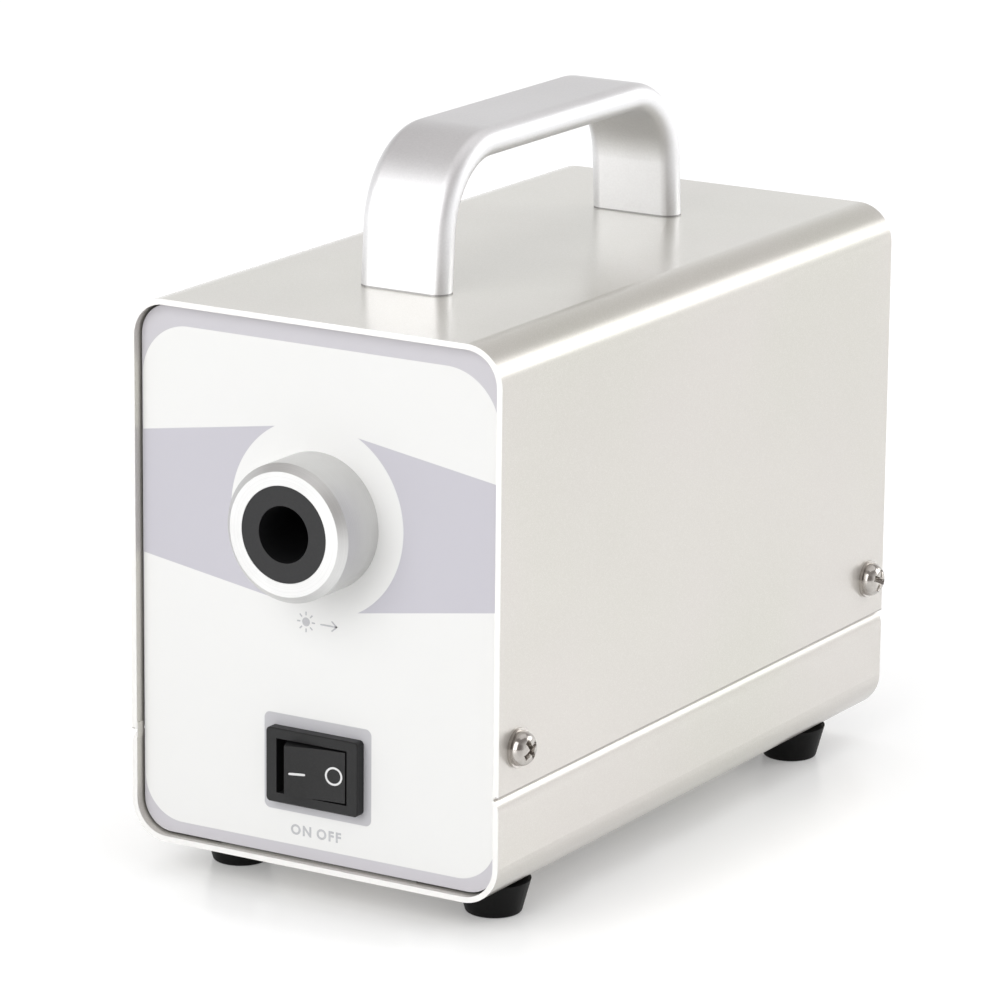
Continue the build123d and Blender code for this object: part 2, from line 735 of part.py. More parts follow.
led_board_front = heat_sink_front - led_board_thickness
with BuildPart() as led_board:
    with BuildSketch(upright(led_board_front)):
        with Locations((0, port_z)):
            Circle(led_board_diameter / 2)
        with Locations(*led_screw_places):
            Circle((m3 + hole_clearance) / 2, mode=Mode.SUBTRACT)
    extrude(amount=led_board_thickness, dir=BACK)
finish(led_board, "led_board")

with BuildPart() as led_emitter:
    with BuildSketch(backwards(0, led_board_front, port_z)):
        Circle(led_diameter / 2)
    extrude(amount=led_height, dir=FRONT)
    fillet(led_emitter.edges().group_by(Axis.Y)[0], radius=led_height * 0.5)
finish(led_emitter, "led_emitter")

with BuildPart() as led_screws:
    with Locations(*[Location((x, led_board_front, z), TO_FRONT) for x, z in led_screw_places]):
        add(led_screw)
finish(led_screws, "led_screws")

fin_pitch = (heat_sink_size - heat_sink_fin) / (heat_sink_fins - 1)
with BuildPart() as heat_sink:
    with BuildSketch(upright(heat_sink_front)):
        with Locations((0, port_z)):
            Rectangle(heat_sink_size, heat_sink_size)
        with Locations(*tube_screw_places, *led_screw_places):
            Circle(m3 / 2, mode=Mode.SUBTRACT)
    extrude(amount=heat_sink_base, dir=BACK)
    with BuildSketch(upright(fins_front)):
        with Locations((0, port_z)):
            with GridLocations(fin_pitch, 1, heat_sink_fins, 1):
                Rectangle(heat_sink_fin, heat_sink_size)
    extrude(amount=heat_sink_fin_length, dir=BACK)
    with BuildSketch(Plane.XY.offset(heat_sink_bottom)):
        with Locations(*bracket_top_points):
            Circle(m3 / 2)
    extrude(amount=bracket_screw_depth + 0.5, mode=Mode.SUBTRACT)
finish(heat_sink, "heat_sink")

with BuildPart() as heat_sink_bracket:
    with BuildSketch(upright(heat_sink_front)):
        bracket_height = heat_sink_bottom - floor_top
        with Locations((0, floor_top)):
            Rectangle(bracket_leg_outer * 2, bracket_height, align=(Align.CENTER, Align.MIN))
            Rectangle(
                bracket_inside,
                bracket_height - bracket_sheet,
                align=(Align.CENTER, Align.MIN),
                mode=Mode.SUBTRACT,
            )
        with Locations(*[(side * bracket_screw_x, floor_top) for side in (-1, 1)]):
            Rectangle(bracket_foot, bracket_sheet, align=(Align.CENTER, Align.MIN))
    extrude(amount=bracket_length, dir=BACK)
    with BuildSketch(Plane.XY.offset(floor_top)):
        with Locations(*bracket_screw_points):
            Circle((m3 + hole_clearance) / 2)
    extrude(amount=bracket_sheet, mode=Mode.SUBTRACT)
    with BuildSketch(Plane.XY.offset(heat_sink_bottom - bracket_sheet)):
        with Locations(*bracket_top_points):
            Circle((m3 + hole_clearance) / 2)
    extrude(amount=bracket_sheet, mode=Mode.SUBTRACT)
finish(heat_sink_bracket, "heat_sink_bracket")

floor_screw = pan_screw(m3, sheet + bracket_sheet + nut_height + 0.6, 5.6, 2.0)
bracket_top_screw = pan_screw(m3, bracket_sheet + bracket_screw_depth, 5.6, 2.0)
with BuildPart() as chassis_screws:
    floor_points = panel_screw_points + bracket_screw_points
    with Locations(*[Location((x, y, case_bottom), DOWN) for x, y in floor_points]):
        add(floor_screw)
    top_seat = heat_sink_bottom - bracket_sheet
    with Locations(*[Location((x, y, top_seat), DOWN) for x, y in bracket_top_points]):
        add(bracket_top_screw)
finish(chassis_screws, "chassis_screws")

# ---------------------------------------------------------------- fan
duct_radius = fan_duct_diameter / 2
hub_plate = fan_back - fan_strut
with BuildPart() as fan_frame:
    for flange_front in (fan_front, fan_back - fan_flange):
        with BuildSketch(upright(flange_front)):
            with Locations((0, port_z)):
                RectangleRounded(fan_size, fan_size, fan_flange)
                Circle(duct_radius, mode=Mode.SUBTRACT)
            with Locations(*fan_screw_points):
                Circle((m3 + hole_clearance) / 2, mode=Mode.SUBTRACT)
        extrude(amount=fan_flange, dir=BACK)
    with BuildSketch(upright(fan_front)):
        with Locations((0, port_z)):
            Circle(fan_size / 2)
            Circle(duct_radius, mode=Mode.SUBTRACT)
    extrude(amount=fan_depth, dir=BACK)
    with BuildSketch(upright(hub_plate)):
        with Locations((0, port_z)):
            Rectangle(fan_duct_diameter, fan_strut)
            Rectangle(fan_strut, fan_duct_diameter)
            Circle(fan_hub_diameter / 2)
    extrude(amount=fan_strut, dir=BACK)
    with BuildSketch(upright(hub_plate)):
        with Locations((0, port_z)):
            Circle(fan_bearing_diameter / 2)
    extrude(amount=fan_bearing_length, dir=FRONT)
    with BuildSketch(upright(hub_plate)):
        with Locations((0, port_z)):
            Circle(fan_shaft_diameter / 2 + shaft_gap)
    extrude(amount=fan_bearing_length, dir=FRONT, mode=Mode.SUBTRACT)
finish(fan_frame, "fan_frame")

with BuildPart() as fan_stator:
    with BuildSketch(upright(hub_plate - fan_cup_gap)):
        with Locations((0, port_z)):
            Circle(fan_stator_diameter / 2)
            Circle(fan_bearing_diameter / 2 + thread_gap, mode=Mode.SUBTRACT)
            with PolarLocations((fan_stator_diameter + fan_bearing_diameter) / 4, fan_stator_poles):
                SlotOverall(fan_stator_diameter / 4, fan_stator_diameter / 8, mode=Mode.SUBTRACT)
    extrude(amount=fan_stator_length, dir=FRONT)
finish(fan_stator, "fan_stator")

blade_radius = duct_radius - fan_tip_gap
hub_radius = fan_hub_diameter / 2
cup_front = fan_front + fan_cup_gap
cup_back = hub_plate - fan_cup_gap
with BuildPart() as fan_blade:
    for reach, chord, angle in (
        (hub_radius - fan_hub_wall / 2, blade_root_chord, blade_root_angle),
        (duct_radius + fan_tip_gap, blade_tip_chord, blade_tip_angle),
    ):
        with BuildSketch(Plane(origin=(reach, 0, 0), x_dir=(0, 0, 1), z_dir=(1, 0, 0))):
            Rectangle(chord, fan_blade_thickness, rotation=angle)
    loft()
    Cylinder(blade_radius, fan_depth, mode=Mode.INTERSECT)

with BuildPart(backwards(0, (cup_front + cup_back) / 2, port_z)) as fan_rotor:
    cup_length = cup_back - cup_front
    Cylinder(hub_radius, cup_length)
    with PolarLocations(0, fan_blades):
        add(fan_blade.part)
    with Locations((0, 0, fan_hub_wall)):
        Cylinder(hub_radius - fan_hub_wall, cup_length, mode=Mode.SUBTRACT)
    with Locations((0, 0, fan_hub_wall - cup_length / 2)):
        Cylinder(
            fan_shaft_diameter / 2,
            cup_length - fan_hub_wall - 1.0,
            align=(Align.CENTER, Align.CENTER, Align.MIN),
        )
finish(fan_rotor, "fan_rotor")

guard_radius = duct_radius - guard_wire / 2
with BuildPart() as fan_guard:
    with BuildSketch(upright(rear_face)):
        with Locations((0, port_z)):
            for step in range(guard_rings, 0, -1):
                ring_radius = guard_radius * step / guard_rings
                Circle(ring_radius + guard_wire / 2)
                Circle(ring_radius - guard_wire / 2, mode=Mode.SUBTRACT)
            for turn in (45, -45):
                Rectangle(fan_hole_pitch * sqrt(2), guard_wire, rotation=turn)
        with Locations(*fan_screw_points):
            Circle(guard_eye / 2)
            Circle((m3 + hole_clearance) / 2, mode=Mode.SUBTRACT)
    extrude(amount=guard_wire, dir=BACK)
finish(fan_guard, "fan_guard")

fan_screw = pan_screw(m3, guard_wire + panel_thickness + fan_depth + nut_height + 0.6, 5.6, 1.0)
with BuildPart() as fan_screws:
    guard_face = rear_face + guard_wire
    with Locations(*[Location((x, guard_face, z), TO_BACK) for x, z in fan_screw_points]):
        add(fan_screw)
finish(fan_screws, "fan_screws")

m3_nut = hex_nut(5.5, nut_height, m3)
with BuildPart() as hex_nuts:
    with Locations(*[(x, y, floor_top + foot_nut_lift) for x, y in foot_points.values()]):
        add(m3_nut)
    with Locations(*[(x, y, floor_top + panel_thickness) for x, y in panel_screw_points]):
        add(m3_nut)
    with Locations(*[(x, y, floor_top + bracket_sheet) for x, y in bracket_screw_points]):
        add(m3_nut)
    with Locations(*[Location((x, fan_front, z), TO_FRONT) for x, z in fan_screw_points]):
        add(m3_nut)
finish(hex_nuts, "hex_nuts")

# ---------------------------------------------------------------- driver board
board_middle = (board_front + board_back) / 2
with BuildPart() as driver_board:
    with BuildSketch(Plane.XY.offset(board_bottom)):
        with Locations((0, board_middle)):
            RectangleRounded(board_width, board_length, 1.5)
        with Locations(*board_screw_points):
            Circle((m3 + hole_clearance) / 2, mode=Mode.SUBTRACT)
    extrude(amount=board_thickness)
finish(driver_board, "driver_board")

standoff = hex_nut(standoff_size, standoff_height, m3)
with BuildPart() as board_standoffs:
    with Locations(*[(x, y, floor_top) for x, y in board_screw_points]):
        add(standoff)
finish(board_standoffs, "board_standoffs")

board_screw = pan_screw(m3, board_thickness + standoff_height - 0.5, 5.4, 2.0)
with BuildPart() as board_screws:
    with Locations(*[(x, y, board_top) for x, y in board_screw_points]):
        add(board_screw)
finish(board_screws, "board_screws")

transformer_x = -transformer_width / 2 + 2.0
transformer_y = board_middle - 3.2
core_leg = 3.0
with BuildPart() as transformer_core:
    with BuildSketch(upright(transformer_y - transformer_length / 5)):
        with Locations((transformer_x, board_top + transformer_height / 2)):
            Rectangle(transformer_width, transformer_height)
            Rectangle(transformer_width - 2 * core_leg, transformer_height - 2 * core_leg, mode=Mode.SUBTRACT)
    extrude(amount=transformer_length * 2 / 5, dir=BACK)
finish(transformer_core, "transformer_core")

with BuildPart() as transformer_winding:
    with BuildSketch(Plane.XY.offset(board_top + core_leg)):
        with Locations((transformer_x, transformer_y)):
            RectangleRounded(transformer_width - 2 * core_leg, transformer_length, core_leg)
    extrude(amount=transformer_height - 2 * core_leg)
    with BuildSketch(Plane.XY.offset(board_top)):
        with Locations((transformer_x, transformer_y)):
            with GridLocations(0, transformer_length * 0.75, 1, 2):
                Rectangle(transformer_width - 2 * core_leg, core_leg)
    extrude(amount=core_leg)
finish(transformer_winding, "transformer_winding")


def capacitor(diameter, height):
    """Radial can capacitor with a crimp near its foot."""
    with BuildPart() as can:
        Cylinder(diameter / 2, height, align=(Align.CENTER, Align.CENTER, Align.MIN))
        fillet(can.edges().group_by(Axis.Z)[-1], radius=0.6)
        with BuildSketch(Plane.XY.offset(1.6)):
            Circle(diameter / 2)
            Circle(diameter / 2 - 0.4, mode=Mode.SUBTRACT)
        extrude(amount=0.8, mode=Mode.SUBTRACT)
    return can.part


input_capacitor_part = capacitor(input_capacitor_diameter, input_capacitor_height)
output_capacitor_part = capacitor(output_capacitor_diameter, output_capacitor_height)
input_capacitor_place = (board_width / 2 - 8.0, board_front + 17.0, board_top)
output_capacitor_places = [
    (x, board_back - 12.8, board_top) for x in (5.0 - board_width / 2, 14.5 - board_width / 2)
]
choke_place = (board_width / 2 - 9.0, board_back - 13.0, board_top)
with BuildPart() as input_capacitor:
    with Locations(input_capacitor_place):
        add(input_capacitor_part)
finish(input_capacitor, "input_capacitor")

with BuildPart() as output_capacitors:
    with Locations(*output_capacitor_places):
        add(output_capacitor_part)
finish(output_capacitors, "output_capacitors")

with BuildPart() as filter_choke:
    with Locations(choke_place):
        Cylinder(choke_diameter / 2, choke_height, align=(Align.CENTER, Align.CENTER, Align.MIN))
        Cylinder(
            choke_bore / 2, choke_height, align=(Align.CENTER, Align.CENTER, Align.MIN), mode=Mode.SUBTRACT
        )
    fillet(filter_choke.edges().filter_by(GeomType.CIRCLE), radius=1.5)
finish(filter_choke, "filter_choke")

terminal_places = [
    (terminal_offset, board_front + terminal_length / 2),
    (-terminal_offset, board_front + terminal_length / 2),
    (-terminal_offset, board_back - terminal_length / 2),
]
with BuildPart() as terminal_blocks:
    with BuildSketch(Plane.XY.offset(board_top)):
        with Locations(*terminal_places):
            Rectangle(terminal_width, terminal_length)
    extrude(amount=terminal_height)
    with BuildSketch(Plane.XY.offset(board_top + terminal_height)):
        with Locations(*terminal_places):
            with GridLocations(terminal_wire_pitch, 0, 2, 1):
                Circle(1.6)
    extrude(amount=-2.0, mode=Mode.SUBTRACT)
finish(terminal_blocks, "terminal_blocks")

# ---------------------------------------------------------------- rocker switch
pivot_y = bezel_front + rocker_pivot_depth
tilt = radians(rocker_tilt)
with BuildPart() as switch_body:
    with BuildSketch(upright(bezel_front)):
        with Locations((0, switch_z)):
            RectangleRounded(bezel_width, bezel_height, bezel_corner)
    extrude(amount=bezel_thickness, dir=BACK)
    chamfer(switch_body.faces().sort_by(Axis.Y)[0].outer_wire().edges(), length=bezel_chamfer)
    with BuildSketch(upright(label_front)):
        with Locations((0, switch_z)):
            Rectangle(switch_body_width, switch_body_height)
    extrude(amount=switch_body_depth, dir=BACK)
    with BuildSketch(upright(bezel_front)):
        with Locations((0, switch_z)):
            Rectangle(rocker_width, rocker_height)
    extrude(amount=rocker_depth, dir=BACK, mode=Mode.SUBTRACT)
    with Locations((0, pivot_y, switch_z)):
        Cylinder(
            rocker_pin_diameter / 2 + shaft_gap,
            rocker_height + 2 * (rocker_pin_length + shaft_gap),
            mode=Mode.SUBTRACT,
        )
finish(switch_body, "switch_body")

rocker_plane = Plane(origin=(0, pivot_y, switch_z), x_dir=(cos(tilt), sin(tilt), 0), z_dir=(0, 0, 1))
with BuildPart() as switch_rocker:
    with BuildSketch(rocker_plane):
        with BuildLine():
            Polyline(
                (-rocker_half_face, -rocker_reach),
                (-rocker_shoulder, -rocker_shoulder_depth),
                (-rocker_shoulder, 0),
                (-rocker_back_width / 2, rocker_back),
                (rocker_back_width / 2, rocker_back),
                (rocker_shoulder, 0),
                (rocker_shoulder, -rocker_shoulder_depth),
                (rocker_half_face, -rocker_reach),
            )
            ThreePointArc(
                (rocker_half_face, -rocker_reach),
                (0, rocker_dish - rocker_reach),
                (-rocker_half_face, -rocker_reach),
            )
        make_face()
    extrude(amount=rocker_height / 2 - rocker_gap, both=True)
    with BuildSketch(rocker_plane):
        Circle(rocker_pin_diameter / 2)
    extrude(amount=rocker_height / 2 + rocker_pin_length, both=True)
finish(switch_rocker, "switch_rocker")


def tabs(places, root, direction):
    """Spade tabs that stand on edge at (x, z) places and reach from the root depth."""
    with BuildPart() as blades:
        with BuildSketch(upright(root)):
            with Locations(*places):
                Rectangle(tab_thickness, tab_width)
        extrude(amount=tab_length, dir=direction)
    return blades.part


def boots(places, root, direction):
    """Insulating sleeves pushed over spade tabs, with a slot that fits the tab."""
    reach = 1 if direction == BACK else -1
    start = root + reach * 0.5
    with BuildPart() as sleeves:
        with BuildSketch(upright(start)):
            with Locations(*places):
                RectangleRounded(boot_thickness, boot_width, boot_thickness * 0.3)
        extrude(amount=boot_length, dir=direction)
        with BuildSketch(upright(start)):
            with Locations(*places):
                Rectangle(tab_thickness + 2 * thread_gap, tab_width + 2 * thread_gap)
        extrude(amount=tab_length, dir=direction, mode=Mode.SUBTRACT)
    return sleeves.part


switch_tab_places = [(side * switch_tab_pitch / 2, switch_z) for side in (-1, 1)]
with BuildPart() as switch_terminals:
    add(tabs(switch_tab_places, switch_back, BACK))
finish(switch_terminals, "switch_terminals")

# ---------------------------------------------------------------- power inlet
pin_z = cavity_z - pin_offset
earth_z = cavity_z + pin_offset
pin_places = [
    (inlet_offset - pin_pitch, pin_z),
    (inlet_offset, earth_z),
    (inlet_offset + pin_pitch, pin_z),
]
drawer_inner = rear_face + inlet_flange_thickness - drawer_depth
with BuildPart() as inlet_body:
    with BuildSketch(upright(rear_face)):
        with Locations((inlet_offset, inlet_z)):
            RectangleRounded(inlet_flange_width, inlet_flange_height, 2.0)
    extrude(amount=inlet_flange_thickness, dir=BACK)
    with BuildSketch(upright(inlet_inner)):
        with Locations((inlet_offset, inlet_z)):
            Rectangle(inlet_body_width, inlet_body_height)
    extrude(amount=inlet_body_depth, dir=BACK)
    with BuildSketch(upright(cavity_floor)) as cavity_shape:
        with Locations((inlet_offset, cavity_z)):
            Rectangle(cavity_width, cavity_height)
        chamfer(cavity_shape.vertices().group_by(Axis.Y)[-1], length=cavity_chamfer)
    extrude(amount=cavity_depth, dir=BACK, mode=Mode.SUBTRACT)
    with BuildSketch(upright(drawer_inner - drawer_gap)):
        with Locations((inlet_offset, drawer_z)):
            Rectangle(drawer_width + 2 * drawer_gap, drawer_height + 2 * drawer_gap)
    extrude(amount=drawer_depth + drawer_gap, dir=BACK, mode=Mode.SUBTRACT)
    with BuildSketch(upright(inlet_inner)):
        with Locations(*pin_places):
            Rectangle(pin_thickness, pin_height)
    extrude(amount=cavity_floor - inlet_inner, dir=BACK, mode=Mode.SUBTRACT)
finish(inlet_body, "inlet_body")

with BuildPart() as inlet_pins:
    with BuildSketch(upright(inlet_inner)):
        with Locations(*pin_places):
            Rectangle(pin_thickness, pin_height)
    extrude(amount=cavity_floor + pin_reach - inlet_inner, dir=BACK)
    add(tabs(pin_places, inlet_inner, FRONT))
finish(inlet_pins, "inlet_pins")

fuse_y = drawer_inner + fuse_diameter / 2 + 1.2
with BuildPart() as fuse_drawer:
    with BuildSketch(upright(drawer_inner)):
        with Locations((inlet_offset, drawer_z)):
            Rectangle(drawer_width, drawer_height)
    extrude(amount=drawer_depth + drawer_grip, dir=BACK)
    with Locations((inlet_offset, fuse_y, drawer_z)):
        Box(
            fuse_length + 2 * fuse_gap,
            fuse_diameter + 2 * fuse_gap,
            drawer_height,
            align=(Align.CENTER, Align.CENTER, Align.MIN),
            mode=Mode.SUBTRACT,
        )
        Cylinder(
            fuse_diameter / 2 + fuse_gap, fuse_length + 2 * fuse_gap, rotation=(0, 90, 0), mode=Mode.SUBTRACT
        )
    with Locations((inlet_offset, drawer_inner + drawer_depth + drawer_grip, drawer_z + drawer_height / 2)):
        Box(9.0, 2.4, 2.4, mode=Mode.SUBTRACT)
finish(fuse_drawer, "fuse_drawer")

with BuildPart() as fuse:
    with Locations((inlet_offset, fuse_y, drawer_z - fuse_gap)):
        Cylinder(fuse_diameter / 2 - 0.2, fuse_length, rotation=(0, 90, 0))
    for side in (-1, 1):
        with Locations((inlet_offset + side * (fuse_length - 5.0) / 2, fuse_y, drawer_z - fuse_gap)):
            Cylinder(fuse_diameter / 2, 5.0, rotation=(0, 90, 0))
finish(fuse, "fuse")

# ---------------------------------------------------------------- dimmer
dimmer_front = rear_inner - dimmer_body_depth
dimmer_x = -dimmer_offset
shaft_front = dimmer_front + 2.0
lug_z = dimmer_z - dimmer_body_diameter / 2 + 2.0
lug_places = [(dimmer_x + step * dimmer_lug_pitch, lug_z + abs(step) * 1.0) for step in (-1, 0, 1)]
lug_length = 4.0
knob_front = rear_face + dimmer_nut_height + knob_gap
knob_face = case_back + knob_reach
bush_cavity = dimmer_bush_diameter / 2 + 1.0
shaft_back = knob_face - 3.0
with BuildPart() as dimmer_body:
    with BuildSketch(backwards(dimmer_x, dimmer_front, dimmer_z)):
        Circle(dimmer_body_diameter / 2)
    extrude(amount=dimmer_body_depth)
    with BuildSketch(backwards(dimmer_x, rear_inner, dimmer_z)):
        Circle(dimmer_bush_diameter / 2)
    extrude(amount=dimmer_back - rear_inner)
    with BuildSketch(backwards(dimmer_x, shaft_front - shaft_gap, dimmer_z)):
        Circle(dimmer_shaft_diameter / 2 + shaft_gap)
    extrude(amount=dimmer_back - shaft_front + shaft_gap, mode=Mode.SUBTRACT)
    with BuildSketch(upright(dimmer_front)):
        with Locations(*lug_places):
            Rectangle(1.6, 1.6)
    extrude(amount=lug_length, dir=FRONT)
finish(dimmer_body, "dimmer_body")

with BuildPart() as dimmer_shaft:
    with BuildSketch(backwards(dimmer_x, shaft_front, dimmer_z)):
        Circle(dimmer_shaft_diameter / 2)
    extrude(amount=shaft_back - shaft_front)
finish(dimmer_shaft, "dimmer_shaft")

dimmer_nut_part = hex_nut(dimmer_nut_size, dimmer_nut_height, dimmer_bush_diameter + 2 * thread_gap)
with BuildPart() as dimmer_nut:
    with Locations(Location((dimmer_x, rear_face, dimmer_z), TO_BACK)):
        add(dimmer_nut_part)
finish(dimmer_nut, "dimmer_nut")

with BuildPart() as dimmer_knob:
    with BuildSketch(backwards(dimmer_x, knob_front, dimmer_z)):
        Circle(knob_diameter / 2)
    extrude(amount=knob_face - knob_front)
    chamfer(dimmer_knob.edges().group_by(Axis.Y)[-1], length=0.8)
    with BuildSketch(backwards(dimmer_x, knob_front, dimmer_z)):
        Circle(bush_cavity)
    extrude(amount=dimmer_back + 0.5 - knob_front, mode=Mode.SUBTRACT)
    with BuildSketch(backwards(dimmer_x, knob_front, dimmer_z)):
        Circle(dimmer_shaft_diameter / 2 + 0.01)
    extrude(amount=shaft_back - knob_front, mode=Mode.SUBTRACT)
    with BuildSketch(backwards(dimmer_x, knob_front + 2.0, dimmer_z)):
        with PolarLocations(knob_diameter / 2 + 0.3, 20):
            Circle(0.8)
    extrude(amount=knob_face - knob_front, mode=Mode.SUBTRACT)
    with BuildSketch(backwards(dimmer_x, knob_face - 0.5, dimmer_z)):
        with Locations((0, knob_diameter / 4)):
            Rectangle(1.2, knob_diameter / 2)
    extrude(amount=0.5, mode=Mode.SUBTRACT)
finish(dimmer_knob, "dimmer_knob")

# ---------------------------------------------------------------- earth stud and wires
earth_stud_top = floor_top + earth_stud_height
with BuildPart() as earth_stud:
    with Locations((*earth_point, case_bottom)):
        Cylinder(
            m3 / 2 - thread_gap, sheet + earth_stud_height, align=(Align.CENTER, Align.CENTER, Align.MIN)
        )
    with BuildSketch(Plane.XY.offset(floor_top)):
        with Locations(earth_point):
            RegularPolygon(3.0, 6, major_radius=False)
    extrude(amount=nut_height)
finish(earth_stud, "earth_stud")

switch_boot_back = switch_back + 0.5 + boot_length
inlet_boot_front = inlet_inner - 0.5 - boot_length
with BuildPart() as wire_boots:
    add(boots(switch_tab_places, switch_back, BACK))
    add(boots(pin_places, inlet_inner, FRONT))
finish(wire_boots, "wire_boots")

channel_x = bracket_leg_outer + channel_gap
channel_back = heat_sink_front + bracket_length + 4.0
channel_front = heat_sink_front - 5.0
entry_z = board_top + terminal_wire_rise
entry_half = terminal_wire_pitch / 2
live_wire = wire(
    [
        (inlet_offset + pin_pitch, inlet_boot_front, pin_z),
        (inlet_offset + pin_pitch, inlet_boot_front - 6.0, pin_z),
        (channel_x, channel_back, pin_z - 4.0),
        (channel_x, board_middle - 10.0, pin_z - 6.0),
        (channel_x, channel_front, pin_z - 6.0),
        (switch_tab_pitch / 2, channel_front - 2.0, switch_z),
        (switch_tab_pitch / 2, switch_boot_back, switch_z),
    ]
)
switched_wire = wire(
    [
        (-switch_tab_pitch / 2, switch_boot_back, switch_z),
        (-switch_tab_pitch / 2, switch_boot_back + 5.0, switch_z),
        (terminal_offset - entry_half, channel_front + 1.0, entry_z),
        (terminal_offset - entry_half, board_front, entry_z),
    ]
)
neutral_wire = wire(
    [
        (inlet_offset - pin_pitch, inlet_boot_front, pin_z),
        (inlet_offset - pin_pitch, inlet_boot_front - 5.0, pin_z),
        (bracket_inside / 2 - 4.0, channel_back + 10.0, pin_z - 9.0),
        (channel_x, channel_back, entry_z - 0.6),
        (channel_x, board_middle - 10.0, entry_z - 1.6),
        (channel_x, channel_front, entry_z - 1.6),
        (terminal_offset + entry_half, channel_front, entry_z),
        (terminal_offset + entry_half, board_front, entry_z),
    ]
)
with BuildPart() as mains_wires:
    add(live_wire)
    add(switched_wire)
    add(neutral_wire)
finish(mains_wires, "mains_wires")

with BuildPart() as earth_wire:
    add(
        wire(
            [
                (inlet_offset, inlet_boot_front, earth_z),
                (inlet_offset, inlet_boot_front - 5.0, earth_z),
                (earth_point[0] + 6.0, earth_point[1] - 2.5, earth_z),
                (*earth_point, earth_stud_top + 11.0),
                (*earth_point, earth_stud_top),
            ]
        )
    )
finish(earth_wire, "earth_wire")

with BuildPart() as led_wires:
    for step, entry_x in ((-1, -terminal_offset - entry_half), (1, -terminal_offset + entry_half)):
        lead_x = step * 1.5
        add(
            wire(
                [
                    (lead_x, led_board_front, port_z - 7.0),
                    (lead_x, led_lead_y, port_z - 7.0),
                    (lead_x - 0.6, led_lead_y, port_z - 24.0),
                    (entry_x, led_lead_y + 1.0, entry_z + 8.0),
                    (entry_x, led_lead_y + 1.5, entry_z),
                    (entry_x, board_front, entry_z),
                ],
                lead_diameter,
            )
        )
finish(led_wires, "led_wires")

fan_lead_x = -fan_hole_pitch / 2 + 8.0
with BuildPart() as control_wires:
    for step, entry_x in ((-1, -4.0), (0, -1.0), (1, 2.0)):
        lug_x, lug_height = lug_places[step + 1]
        lug_front = dimmer_front - lug_length
        add(
            wire(
                [
                    (lug_x, lug_front, lug_height),
                    (lug_x, lug_front - 6.0, lug_height),
                    (-terminal_offset + entry_x, board_back + 8.0, entry_z),
                    (-terminal_offset + entry_x, board_back, entry_z),
                ],
                lead_diameter,
            )
        )
    for step in (0, 1):
        lead_x = fan_lead_x + 3.0 * step
        entry_x = -terminal_offset + 2.5 * step
        add(
            wire(
                [
                    (lead_x, fan_front, heat_sink_bottom + 2.0),
                    (lead_x, fan_front - 7.0, heat_sink_bottom + 2.0),
                    (entry_x, board_back + 9.0, entry_z + 12.0),
                    (entry_x, board_back + 5.0, entry_z + 3.5),
                    (entry_x, board_back, entry_z + 3.5),
                ],
                lead_diameter,
            )
        )
finish(control_wires, "control_wires")
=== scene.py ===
"""Looks of a fan-cooled fiber optic illuminator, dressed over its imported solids. Metres."""

from math import cos, pi, radians, sin

import bmesh
import bpy
import numpy as np
from mathutils import Matrix, Vector


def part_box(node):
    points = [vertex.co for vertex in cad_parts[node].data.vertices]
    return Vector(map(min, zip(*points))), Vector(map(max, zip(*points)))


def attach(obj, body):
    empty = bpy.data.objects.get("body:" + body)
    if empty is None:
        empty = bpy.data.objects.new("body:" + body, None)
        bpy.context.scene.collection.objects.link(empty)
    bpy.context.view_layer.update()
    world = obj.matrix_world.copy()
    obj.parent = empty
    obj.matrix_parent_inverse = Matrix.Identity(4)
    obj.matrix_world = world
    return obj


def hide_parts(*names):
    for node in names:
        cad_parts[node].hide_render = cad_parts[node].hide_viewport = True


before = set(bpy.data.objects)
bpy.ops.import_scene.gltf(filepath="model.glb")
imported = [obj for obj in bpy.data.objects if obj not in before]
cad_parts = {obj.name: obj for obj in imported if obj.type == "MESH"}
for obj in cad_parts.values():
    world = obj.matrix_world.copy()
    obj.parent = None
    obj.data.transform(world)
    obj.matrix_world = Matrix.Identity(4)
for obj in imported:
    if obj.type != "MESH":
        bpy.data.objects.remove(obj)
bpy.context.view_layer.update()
mm = 0.001

PORT_HEIGHT = 68.2 * mm
SWITCH_HEIGHT = 24.0 * mm
SCREW_HEIGHT = 33.1 * mm
# Heights of the painted shade line along the seam gap between cover and tray.
SEAM_LOW, SEAM_HIGH = 25.1 * mm, 25.85 * mm
FADE = 0.05 * mm  # width over which a drawn edge turns soft
RIM_DEPTH = 0.2 * mm  # depth of the painted highlight along the sheet's front and back rims
GRAIN_DEPTH = 0.02 * mm
INK = 0.03 * mm  # how far print stands proud, and how far it reaches in


# ---------------------------------------------------------------- shader tools
def node(tree, kind, inputs=None, **settings):
    """A shader node with its settings; each input takes a link where its value is a socket."""
    made = tree.nodes.new("ShaderNode" + kind)
    for key, value in settings.items():
        setattr(made, key, value)
    for key, value in (inputs or {}).items():
        if isinstance(value, bpy.types.NodeSocket):
            tree.links.new(value, made.inputs[key])
        else:
            made.inputs[key].default_value = value
    return made


def calc(tree, operation, *values):
    """Result of one Math node."""
    return node(tree, "Math", dict(enumerate(values)), operation=operation).outputs[0]


def blend(tree, share, first, second):
    """Colour mix from first to second."""
    made = node(tree, "Mix", data_type="RGBA")
    for socket, value in zip((made.inputs[0], made.inputs[6], made.inputs[7]), (share, first, second)):
        if isinstance(value, bpy.types.NodeSocket):
            tree.links.new(value, socket)
        else:
            socket.default_value = value
    return made.outputs[2]


def spread(tree, value, low, high, to_low, to_high):
    """Value carried from one range to another, held at its ends."""
    made = node(tree, "MapRange", {0: value, 1: low, 2: high, 3: to_low, 4: to_high})
    return made.outputs[0]


